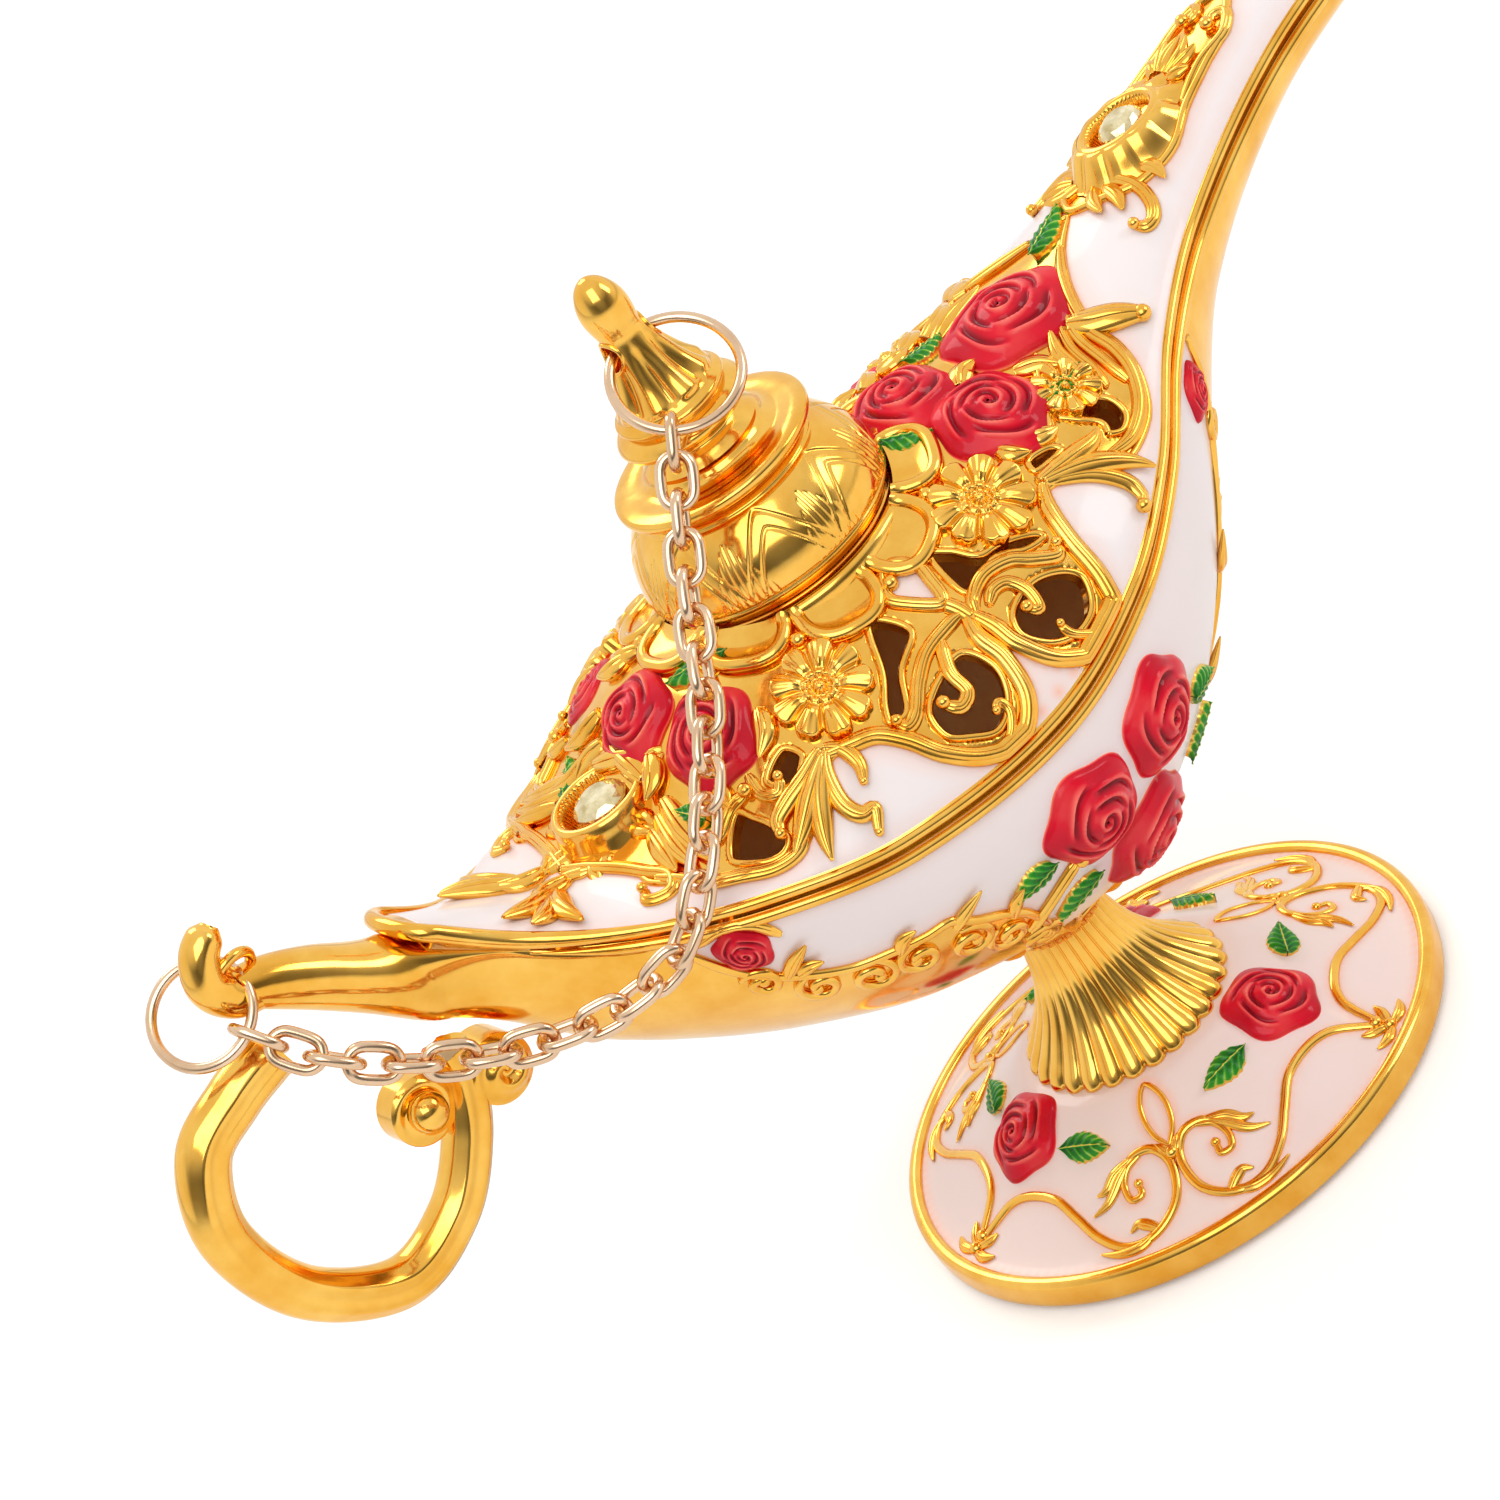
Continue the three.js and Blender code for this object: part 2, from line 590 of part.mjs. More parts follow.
// Relief on the cover: x, y and size; leaves also have their width and turn.
const COVER_ROSES = [
  [20.9, -1.7, 4.1], [13.3, -7.3, 3.4], [11.6, -1.5, 3.3], [13.3, 9.4, 3],
  [-15, 0, 3.3], [-14, -7.3, 3.2], [-14, 9, 3],
];
const COVER_LEAVES = [
  [17.8, -9.2, 3.6, 1.1, -20], [27, 0.2, 4.2, 1.2, 5], [8.9, -4.6, 3, 1, 70], [17, 2.2, 3.4, 1, 40],
  [-18.4, -8.4, 2.6, 0.9, 100], [-11.2, -4.4, 3.4, 1, 60], [-18.6, 4.6, 3.4, 1, 60],
  [17.8, 9.4, 3.6, 1.1, 20],
];
const ACANTHUS_LOBES = [
  [-12.2, -15.3, 3.2, 0.7, 240], [-13.9, -15.1, 4, 0.6, 212], [-14.6, -14, 4.2, 0.6, 188],
  [13.6, -13.1, 4.4, 0.6, -12], [14.3, -13.6, 4.4, 0.6, -30], [14.6, -14.8, 2.4, 0.6, -100],
];
const TAIL_EDGE = [
  [-24.6, 0], [-23.2, -4.4], [-23, -7.8], [-21.9, -11.2], [-18.9, -14], [-15.6, -14.8],
  [-11, -14], [-8.2, -15.4], [-6.4, -17.8],
];
const SPOUT_EDGE = [
  [7.8, -18], [9.5, -15.4], [10.6, -13], [14, -13.2], [18, -13.2], [21.6, -11], [22.6, -7.7],
  [25.3, -3.3], [29, 0],
];

function petalPlate() {
  const outline = Array.from({ length: PETALS * 4 }, (_, i) => {
    const a = (2 * Math.PI * i) / (PETALS * 4);
    const r = PETAL_RADIUS - 0.9 + 0.9 * Math.abs(Math.cos((PETALS * a) / 2)) ** 0.6;
    return new THREE.Vector2(r * Math.cos(a), r * Math.sin(a));
  });
  const plate = new THREE.ExtrudeGeometry(new THREE.Shape(outline), { depth: 3.4, bevelEnabled: false });
  return plate.translate(0, 0, COLLAR_TOP - 0.7 - 3.4);
}

function cup(x, stretch, radius, top, bottom) {
  return rod(radius, bottom, top, 16).scale(stretch, 1, 1).translate(x, 0, 0);
}

const cupTop = (x) => coverHeight(x, 0) + CUP_RISE;
const SPOUT_CUP_STRETCH = 1.25;

function makeCover() {
  const shell = toSolid(loft(coverStations.map(coverRing)));
  const hollow = toSolid(loft(hollowStations.map((x) => hollowRing(x, true))));
  const windows = [-1, 1].flatMap((side) => WINDOWS.map((row) => windowCutter(row, side)));
  const pierced = shell.subtract(hollow).subtract(join(windows));
  const ornaments = [-1, 1].flatMap((side) => [
    ...SCROLLS.map((row) => scrollWire(row, side)),
    ...DAISIES.flatMap((row) => daisy(row, side)),
    ...ACANTHUS_LOBES.map(([x, y, length, width, turn]) =>
      leaf(coverFrame(x, y * -side), length, width, turn * -side)
    ),
    ...[TAIL_EDGE, SPOUT_EDGE].map((edge) => raisedEdge(edge, (x, y) => onCover(x, y * -side), 16)),
  ]);
  const flowers = [
    ...COVER_ROSES.map(([x, y, radius]) => rose(coverFrame(x, y), radius)),
    ...COVER_LEAVES.map(([x, y, length, width, turn]) => leaf(coverFrame(x, y), length, width, turn)),
  ];
  const collar = rod(COLLAR_RADIUS, COLLAR_TOP - 4, COLLAR_TOP, 30);
  const tailTop = cupTop(TAIL_CUP_X);
  const spoutTop = cupTop(SPOUT_CUP_X);
  const spoutRadius = CUP_RADIUS - 0.5;
  const cups = [
    cup(TAIL_CUP_X, 1, CUP_RADIUS, tailTop, tailTop - CUP_RISE - 1),
    cup(SPOUT_CUP_X, SPOUT_CUP_STRETCH, spoutRadius, spoutTop, spoutTop - CUP_RISE - 1),
  ];
  const pockets = [
    cup(TAIL_CUP_X, 1, CUP_RADIUS - CUP_WALL, tailTop + 1, tailTop - CUP_POCKET),
    cup(SPOUT_CUP_X, SPOUT_CUP_STRETCH, spoutRadius - CUP_WALL, spoutTop + 1, spoutTop - CUP_POCKET),
  ];
  const mouth = rod(MOUTH_RADIUS, RIM_HEIGHT, COLLAR_TOP + 6, 30);
  const seat = rod(COLLAR_RADIUS + SEAM, COLLAR_TOP, COLLAR_TOP + 6, 30);
  const whole = pierced.add(join([...ornaments, ...flowers, petalPlate(), collar, ...cups]));
  return toGeometry(whole.subtract(join([...pockets, mouth, seat])));
}

// Gems: a cut stone seated in its cup on the seam gap.
function makeGem(x, stretch, pocketRadius) {
  const floor = cupTop(x) - CUP_POCKET + SEAM;
  const radius = pocketRadius - SEAM;
  const profile = [
    [0, floor],
    [radius * 0.6, floor],
    [radius, floor + 0.8],
    [radius * 0.92, floor + 1.1],
    [radius * 0.55, floor + 1.6],
    [0, floor + 1.6],
  ];
  return lathe(profile, 12).scale(stretch, 1, 1).translate(x, 0, 0);
}

// Lid: a plug in the mouth, a hollow dome and a flange on top.
const domeBase = COLLAR_TOP + SEAM;
const flangeTop = domeBase + DOME_HEIGHT + FLANGE_HEIGHT;
const lidTop = flangeTop + 0.6;

function makeLid() {
  const plug = MOUTH_RADIUS - PLUG_CLEARANCE;
  const domeTop = domeBase + DOME_HEIGHT;
  const side = (share) => [
    DOME_RADIUS - (DOME_RADIUS - FLANGE_RADIUS + 1.4) * share ** 2.2,
    domeBase + 0.5 + (DOME_HEIGHT - 0.9) * share,
  ];
  const profile = [
    [0, domeTop - LID_WALL],
    [FLANGE_RADIUS - 3, domeTop - LID_WALL],
    [plug - LID_WALL, domeBase + 1],
    [plug - LID_WALL, domeBase - PLUG_DEPTH],
    [plug, domeBase - PLUG_DEPTH],
    [plug, domeBase],
    [DOME_RADIUS - 0.2, domeBase],
    ...[0, 0.2, 0.4, 0.6, 0.8, 1].map(side),
    [FLANGE_RADIUS - 0.3, domeTop],
    [FLANGE_RADIUS, domeTop + 0.35],
    [FLANGE_RADIUS - 0.25, flangeTop - 0.25],
    [FINIAL_BASE_RADIUS, flangeTop],
    [FINIAL_BASE_RADIUS - 0.8, lidTop],
    [0, lidTop],
  ];
  return lathe(profile, 28);
}

// Finial: turned mouldings, a fluted spire, an eye for the ring and a bulb.
const finialBase = lidTop + SEAM;
const FINIAL_OUTLINE = [
  [0, 4.1], [0.5, 3.6], [1.1, 3.3], [1.5, 4.2], [2.1, 4.6], [2.7, 4.2], [3, 3.6], [3.4, 3.9],
  [3.8, 3.6], [4.3, 3.2], [5.4, 2.6], [6.6, 2.1], [7.4, 1.95], [8.6, 1.85], [9.4, 1.35],
  [10.2, 1.6], [11, 1.7], [11.8, 1.45], [12.6, 0.95],
];

function makeFinial() {
  const sides = FINIAL_FLUTES * 3;
  const scale = FINIAL_HEIGHT / 13.15;
  const stack = FINIAL_OUTLINE.map(([height, radius]) => {
    const fluted = height > 4 && height < 7 ? 0.09 : 0;
    return Array.from({ length: sides }, (_, j) => {
      const a = (2 * Math.PI * j) / sides;
      const r = radius * (1 + fluted * Math.cos(FINIAL_FLUTES * a));
      return new THREE.Vector3(r * Math.cos(a), r * Math.sin(a), finialBase + height * scale);
    });
  });
  const tip = finialBase + FINIAL_HEIGHT;
  stack.push(stack[0].map((p, j) => {
    const a = (2 * Math.PI * j) / sides;
    return new THREE.Vector3(0.4 * Math.cos(a), 0.4 * Math.sin(a), tip);
  }));
  const eye = new THREE.CylinderGeometry(EYE_RADIUS, EYE_RADIUS, 8, 14).rotateZ(Math.PI / 2);
  eye.translate(0, 0, finialBase + FINIAL_EYE_HEIGHT * scale);
  return toGeometry(toSolid(loft(stack)).subtract(toSolid(eye)));
}

// Handle: a scrolled bar from under the tail's end round to the bowl, with two volutes.
function makeHandle() {
  const bar = planeBar(
    [
      [HOOK_EYE.x - 1.2, HOOK_EYE.z - 5.5],
      [HOOK_EYE.x - 5, HOOK_EYE.z - 5.9],
      [HOOK_EYE.x - 8.8, HOOK_EYE.z - 7.2],
      [HOOK_EYE.x - 11, HOOK_EYE.z - 12],
      [HOOK_EYE.x - 9.5, HOOK_EYE.z - 18.5],
      [HOOK_EYE.x - 4.5, HOOK_EYE.z - 23.2],
      [HOOK_EYE.x + 0.8, HOOK_EYE.z - 22.6],
      [HOOK_EYE.x + 4.6, HOOK_EYE.z - 19.6],
      [HOOK_EYE.x + 6.6, HOOK_EYE.z - 16.4],
      [HOOK_EYE.x + 7, HOOK_EYE.z - 14.2],
    ],
    (t) => 1.9 - 0.45 * t,
    () => HANDLE_HALF_WIDTH,
    30
  );
  const disc = (x, z, radius, halfWidth) =>
    rod(radius, -halfWidth, halfWidth, 18).rotateX(Math.PI / 2).translate(x, 0, z);
  const upper = [HOOK_EYE.x + 8.6, HOOK_EYE.z - 17.4];
  const inner = [HOOK_EYE.x + 3.3, HOOK_EYE.z - 15.6];
  const ball = new THREE.SphereGeometry(1.4, 12, 8).scale(1, 1.9, 1).translate(inner[0], 0, inner[1]);
  return toGeometry(
    join([
      bar,
      disc(upper[0], upper[1], VOLUTE_RADIUS, HANDLE_HALF_WIDTH + 0.3),
      disc(inner[0], inner[1], VOLUTE_RADIUS, HANDLE_HALF_WIDTH - 0.3),
      ball,
    ])
  );
}

// A closed wire loop round the given centre line.
function wireLoop(points, normal, radius, sides) {
  const count = points.length;
  const loop = points.map((p, i) => {
    const along = points[(i + 1) % count].clone().sub(points[(i + count - 1) % count]).normalize();
    const across = new THREE.Vector3().crossVectors(normal, along);
    return Array.from({ length: sides }, (_, j) => {
      const a = (2 * Math.PI * j) / sides;
      return p.clone().addScaledVector(across, radius * Math.cos(a)).addScaledVector(normal, radius * Math.sin(a));
    });
  });
  return loft(loop, true);
}

// A wire ring that passes through a given eye; pull runs from the eye to the ring's middle.
function ringCentre(eye, pull, radius) {
  return eye.clone().addScaledVector(pull, radius - RING_SLACK);
}

function makeRing(eye, pull, turn, radius) {
  const centre = ringCentre(eye, pull, radius);
  const points = Array.from({ length: 24 }, (_, i) => {
    const a = (2 * Math.PI * i) / 24;
    return centre.clone().addScaledVector(pull, radius * Math.cos(a)).addScaledVector(turn, radius * Math.sin(a));
  });
  return wireLoop(points, new THREE.Vector3().crossVectors(pull, turn).normalize(), WIRE_RADIUS, 6);
}

const lidEye = new THREE.Vector3(0, 0, finialBase + (FINIAL_EYE_HEIGHT * FINIAL_HEIGHT) / 13.15);
const lidPull = new THREE.Vector3(0, -0.8, -0.6);
const lidTurn = new THREE.Vector3(1, 0, 0);

// Where the chain meets a ring: an angle from pull towards turn, and the wire's run there.
function meet(eye, pull, turn, radius, degrees) {
  const a = THREE.MathUtils.degToRad(degrees);
  const place = ringCentre(eye, pull, radius)
    .addScaledVector(pull, radius * Math.cos(a))
    .addScaledVector(turn, radius * Math.sin(a));
  const run = pull.clone().multiplyScalar(-Math.sin(a)).addScaledVector(turn, Math.cos(a));
  return { place, run };
}
const lidMeet = meet(lidEye, lidPull, lidTurn, LID_RING_RADIUS, -52);
const handleMeet = meet(HOOK_EYE, hookPull, hookTurn, HANDLE_RING_RADIUS, 104);

// Route of the chain from the handle ring under the tail, over the near rim and up to the lid ring.
const fromHook = (x, y, z) => HOOK_EYE.clone().add(new THREE.Vector3(x, y, z));
const rimPass = station(-23);
const chainRoute = [
  handleMeet.place,
  fromHook(-0.3, -4.8, -6),
  fromHook(3.7, -7, -10),
  fromHook(8.5, -9.5, -13),
  fromHook(13.7, -12.3, -14.3),
  new THREE.Vector3(-26.4, -14.4, rimPass.rim + 1.6),
  new THREE.Vector3(-22.4, -14.6, rimPass.rim + 4.4),
  new THREE.Vector3(-15.2, -11.6, rimPass.rim + 9.4),
  new THREE.Vector3(-9.6, -8, rimPass.rim + 14.6),
  lidMeet.place,
];

function chainJoints() {
  const reach = WIRE_RADIUS + WIRE_GAP / 2;
  const lead = chainRoute[1].clone().sub(chainRoute[0]).normalize();
  const first = chainRoute[0].clone().addScaledVector(lead, -reach);
  const end = chainRoute.length - 1;
  const lastRun = chainRoute[end].clone().sub(chainRoute[end - 1]).normalize();
  const final = chainRoute[end].clone().addScaledVector(lastRun, reach);
  const route = new THREE.CatmullRomCurve3([first, ...chainRoute.slice(1, end), final], false, 'centripetal');
  route.arcLengthDivisions = 800;
  return route.getSpacedPoints(LINK_COUNT);
}

// One oval link between two joints of the chain, lying in the plane across its normal.
function makeLink(from, to, normal) {
  const along = to.clone().sub(from);
  const half = along.length() / 2 + WIRE_GAP / 2 + WIRE_RADIUS;
  along.normalize();
  const side = new THREE.Vector3().crossVectors(normal, along);
  const bend = LINK_INNER_WIDTH / 2 + WIRE_RADIUS;
  const middle = from.clone().add(to).multiplyScalar(0.5);
  const points = Array.from({ length: 12 }, (_, i) => {
    const a = (2 * Math.PI * (i + 0.5)) / 12;
    const straight = Math.sign(Math.cos(a)) * (half - bend);
    return middle
      .clone()
      .addScaledVector(along, straight + bend * Math.cos(a))
      .addScaledVector(side, bend * Math.sin(a));
  });
  return wireLoop(points, normal, WIRE_RADIUS, 6);
}

// Normals of the links: each lies across the last, slightly twisted so that both end links face their rings.
function linkNormals(joints) {
  const runs = joints.slice(1).map((p, i) => p.clone().sub(joints[i]).normalize());
  const square = (vector, run) => vector.clone().addScaledVector(run, -vector.dot(run)).normalize();
  const carried = [square(handleMeet.run, runs[0])];
  for (let i = 1; i < runs.length; i++) carried.push(square(carried[i - 1], runs[i]));
  const end = runs.length - 1;
  const goal = square(lidMeet.run, runs[end]);
  const cross = new THREE.Vector3().crossVectors(carried[end], goal).dot(runs[end]);
  const turnLeft = Math.atan2(cross, carried[end].dot(goal)) - (end * Math.PI) / 2;
  const twist = (turnLeft - Math.PI * Math.round(turnLeft / Math.PI)) / end;
  return carried.map((normal, i) => normal.applyAxisAngle(runs[i], i * (Math.PI / 2 + twist)));
}

const lamp = new THREE.Group();
lamp.name = 'genie_lamp';

function put(name, geometry, color, roughness, metalness) {
  const material = new THREE.MeshStandardMaterial({ color, roughness, metalness });
  const mesh = new THREE.Mesh(weld(geometry), material);
  mesh.geometry.computeVertexNormals();
  mesh.name = name;
  lamp.add(mesh);
}

put('foot', makeFoot(), ENAMEL, 0.3, 0.2);
put('stem', makeStem(), GOLD, 0.18, 1);
put('foot_screw', makeScrew(), STEEL, 0.35, 1);
put('bowl', makeBowl(), GOLD, 0.18, 1);
put('cover', makeCover(), GOLD, 0.2, 1);
put('tail_gem', makeGem(TAIL_CUP_X, 1, CUP_RADIUS - CUP_WALL), CRYSTAL, 0.05, 0);
put('spout_gem', makeGem(SPOUT_CUP_X, SPOUT_CUP_STRETCH, CUP_RADIUS - 0.5 - CUP_WALL), CRYSTAL, 0.05, 0);
put('lid', makeLid(), GOLD, 0.15, 1);
put('finial', makeFinial(), GOLD, 0.15, 1);
put('handle', makeHandle(), GOLD, 0.18, 1);
put('lid_ring', makeRing(lidEye, lidPull, lidTurn, LID_RING_RADIUS), ROSE_GOLD, 0.25, 1);
put('handle_ring', makeRing(HOOK_EYE, hookPull, hookTurn, HANDLE_RING_RADIUS), ROSE_GOLD, 0.25, 1);

const joints = chainJoints();
const normals = linkNormals(joints);
for (let i = 0; i < LINK_COUNT; i++) {
  const name = `chain_link_${String(i + 1).padStart(2, '0')}`;
  put(name, makeLink(joints[i], joints[i + 1], normals[i]), ROSE_GOLD, 0.25, 1);
}

export default lamp;
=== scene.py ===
"""Looks of the enamelled genie lamp: fine surfaces, ornaments, materials, light and camera."""
import math

import bpy
import numpy as np
from mathutils import Matrix, Vector


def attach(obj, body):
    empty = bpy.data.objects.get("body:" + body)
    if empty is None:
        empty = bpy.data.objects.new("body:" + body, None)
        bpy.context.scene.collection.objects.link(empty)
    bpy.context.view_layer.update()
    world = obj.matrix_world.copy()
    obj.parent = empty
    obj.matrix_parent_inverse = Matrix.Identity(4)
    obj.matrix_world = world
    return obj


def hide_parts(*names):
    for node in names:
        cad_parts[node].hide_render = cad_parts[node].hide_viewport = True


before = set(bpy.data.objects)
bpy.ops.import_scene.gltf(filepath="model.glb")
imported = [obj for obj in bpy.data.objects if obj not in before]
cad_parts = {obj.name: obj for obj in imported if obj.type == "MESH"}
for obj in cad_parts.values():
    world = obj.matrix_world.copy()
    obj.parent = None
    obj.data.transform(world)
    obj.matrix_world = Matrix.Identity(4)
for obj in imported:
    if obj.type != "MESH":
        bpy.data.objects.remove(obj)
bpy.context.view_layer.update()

MM = 0.001
TAU = 2 * math.pi

# Sizes shared with the CAD model, in millimetres.
SEAM = 0.3
TAIL_REACH, SPOUT_REACH = 36.0, 57.3
HALF_BEAM, RIM_HEIGHT, SHEER_RISE = 19.1, 37.6, 14.0
BOWL_DEPTH, CROWN_HEIGHT, COVER_EDGE = 19.3, 14.0, 0.9
COVER_TAIL, BOWL_TAIL = 34.2, 29.0
MOUTH_RADIUS, COLLAR_TOP, PETALS = 8.0, 50.4, 10
WALL = 1.2
TAIL_CUP, SPOUT_CUP = -19.8, 36.0
HOOK = np.array([-44.5, 0, 57.4])
HULL_LINES = np.array([
    [-1.0, 0.115, 1.05, 0.38, 0.04],
    [-0.861, 0.272, 0.657, 0.477, 0.13],
    [-0.722, 0.524, 0.436, 0.596, 0.13],
    [-0.556, 0.754, 0.264, 0.73, 0.33],
    [-0.333, 0.932, 0.093, 0.865, 0.79],
    [0, 1, 0, 1, 0.96],
    [0.175, 0.906, 0.075, 0.94, 0.9],
    [0.314, 0.733, 0.243, 0.81, 0.67],
    [0.436, 0.54, 0.5, 0.63, 0.4],
    [0.576, 0.36, 0.68, 0.36, 0.286],
    [0.785, 0.245, 0.886, 0.22, 0.23],
    [1, 0.215, 1, 0.18, 0.21],
])


# Surfaces of the hull
hull_x = np.where(HULL_LINES[:, 0] < 0, TAIL_REACH, SPOUT_REACH) * HULL_LINES[:, 0]
hull_size = HULL_LINES[:, 1:] * [HALF_BEAM, SHEER_RISE, BOWL_DEPTH, CROWN_HEIGHT]
before = np.maximum(np.arange(len(hull_x)) - 1, 0)
after = np.minimum(np.arange(len(hull_x)) + 1, len(hull_x) - 1)
hull_slope = (hull_size[after] - hull_size[before]) / (hull_x[after] - hull_x[before])[:, None]


def station(x):
    """Half beam, rim height, bowl depth and crown of the hull at x."""
    x = np.asarray(x, float)
    i = np.clip(np.searchsorted(hull_x, x) - 1, 0, len(hull_x) - 2)
    span = (hull_x[i + 1] - hull_x[i])[..., None]
    t = np.clip((x - hull_x[i])[..., None] / span, 0, 1)
    value = (
        (2 * t**3 - 3 * t**2 + 1) * hull_size[i]
        + (t**3 - 2 * t**2 + t) * span * hull_slope[i]
        + (3 * t**2 - 2 * t**3) * hull_size[i + 1]
        + (t**3 - t**2) * span * hull_slope[i + 1]
    )
    return value[..., 0], RIM_HEIGHT + value[..., 1], value[..., 2], value[..., 3]


def cover_height(x, y):
    beam, rim, _, crown = station(x)
    share = np.minimum(np.abs(y) / beam, 1)
    edge = np.minimum(COVER_EDGE, 0.4 * crown)
    return rim + SEAM / 2 + edge + (crown - edge) * (1 - share**2) ** 0.75


def lifted(surface, u, v, lift, du, dv):
    """Points of a surface moved out along its normal."""
    at = surface(u, v)
    normal = np.cross(surface(u + du, v) - surface(u - du, v), surface(u, v + dv) - surface(u, v - dv))
    normal /= np.linalg.norm(normal, axis=-1, keepdims=True) + 1e-12
    return at + normal * np.asarray(lift, float)[..., None]


def cover_at(x, y):
    beam = station(x)[0]
    y = np.clip(y, -0.999 * beam, 0.999 * beam)
    return np.stack(np.broadcast_arrays(x, y, cover_height(x, y)), -1)


def cover(x, y, lift=0.0):
    """Point above the plan place (x, y) of the cover, kept off its edge."""
    x, y, lift = np.broadcast_arrays(np.asarray(x, float), np.asarray(y, float), lift)
    reach = station(x)[0] - 0.15
    return lifted(cover_at, x, np.clip(y, -reach, reach), lift, 0.1, 0.1)


def bowl_at(x, turn):
    beam, rim, depth, _ = station(x)
    return np.stack(np.broadcast_arrays(x, -beam * np.cos(turn), rim - SEAM / 2 - depth * np.sin(turn)), -1)


def bowl(x, drop, lift=0.0):
    """Point on the bowl: drop runs from the near rim 0 over the keel 1 to the far rim 2."""
    x, drop, lift = np.broadcast_arrays(np.asarray(x, float), np.asarray(drop, float), lift)
    return lifted(lambda a, b: bowl_at(a, b * math.pi / 2), x, drop, -lift, 0.1, 0.005)


def foot_height(radius):
    past = np.asarray(radius, float) - 8.5
    share = np.clip((past + np.sqrt(past**2 + 0.5)) / 20.2, 0, 1)
    return 1.9 + 5.1 * (1 - share) ** 1.25


def foot(x, y, lift=0.0):
    """Point above the plan place (x, y) of the foot."""
    x, y, lift = np.broadcast_arrays(np.asarray(x, float), np.asarray(y, float), lift)
    radius = np.hypot(x, y)
    slope = (foot_height(radius + 0.05) - foot_height(radius - 0.05)) / 0.1
    normal = np.stack([-slope * x / radius, -slope * y / radius, np.ones_like(x)], -1)
    normal /= np.linalg.norm(normal, axis=-1, keepdims=True)
    return np.stack([x, y, foot_height(radius)], -1) + normal * lift[..., None]


def seat(surface, u, v, turn=0.0):
    """A function that lays local points (a, b, height) on a surface round the place (u, v)."""
    step_u = np.linalg.norm(surface(u + 0.05, v) - surface(u - 0.05, v)) / 0.1
    step_v = np.linalg.norm(surface(u, v + 0.005) - surface(u, v - 0.005)) / 0.01
    c, s = math.cos(math.radians(turn)), math.sin(math.radians(turn))

    def place(a, b, height):
        along, across = c * a - s * b, s * a + c * b
        return surface(u + along / step_u, v + across / step_v, height)

    return place


# Mesh helpers
class Shape:
    """Collects mesh pieces, each with a material number and a tone for every point."""

    def __init__(self):
        self.points, self.faces, self.slots, self.tones = [], [], [], []
        self.count = 0

    def add(self, points, faces, slot=0, tone=0.0):
        points = np.asarray(points, float).reshape(-1, 3)
        self.faces += [tuple(int(k) + self.count for k in face) for face in faces]
        self.slots += [int(slot)] * len(faces) if np.ndim(slot) == 0 else [int(k) for k in slot]
        self.tones.append(np.broadcast_to(np.asarray(tone, float).reshape(-1), (len(points),)))
        self.points.append(points)
        self.count += len(points)

    def make(self, name, materials, body="lamp_body", slot="gold", replaces=(), smooth=True):
        mesh = bpy.data.meshes.new(name)
        mesh.from_pydata((np.concatenate(self.points) * MM).tolist(), [], self.faces)
        for mat in materials:
            mesh.materials.append(mat)
        mesh.polygons.foreach_set("material_index", self.slots)
        mesh.polygons.foreach_set("use_smooth", [smooth] * len(self.faces))
        mesh.attributes.new("tone", "FLOAT", "POINT").data.foreach_set("value", np.concatenate(self.tones))
        mesh.update()
        obj = bpy.data.objects.new(name, mesh)
        bpy.context.scene.collection.objects.link(obj)
        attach(obj, body)
        if replaces:
            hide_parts(*replaces)
        return obj


def grid_faces(rows, columns, close_rows=False, close_columns=False):
    faces = []
    for i in range(rows if close_rows else rows - 1):
        for j in range(columns if close_columns else columns - 1):
            k, n = (i + 1) % rows, (j + 1) % columns
            faces.append((i * columns + j, i * columns + n, k * columns + n, k * columns + j))
    return faces


def ring_faces(rows, columns):
    """Faces of a grid that closes round its columns."""
    return grid_faces(rows, columns, False, True)


def flipped(faces):
    return [face[::-1] for face in faces]


def turns(count):
    """Angles all the way round."""
    return np.arange(count) * TAU / count


def spline(points, count, closed=False):
    """A smooth curve through the points."""
    p = np.asarray(points, float)
    n = len(p)
    if closed:
        p = np.concatenate([p[-1:], p, p[:2]])
    else:
        p = np.concatenate([2 * p[:1] - p[1:2], p, 2 * p[-1:] - p[-2:-1]])
    spans = n if closed else n - 1
    t = np.linspace(0, spans, count, endpoint=not closed)
    i = np.minimum(t.astype(int), spans - 1)
    f = (t - i)[:, None]
    a, b, c, d = p[i], p[i + 1], p[i + 2], p[i + 3]
    return 0.5 * (2 * b + (c - a) * f + (2 * a - 5 * b + 4 * c - d) * f**2 + (3 * b - a - 3 * c + d) * f**3)


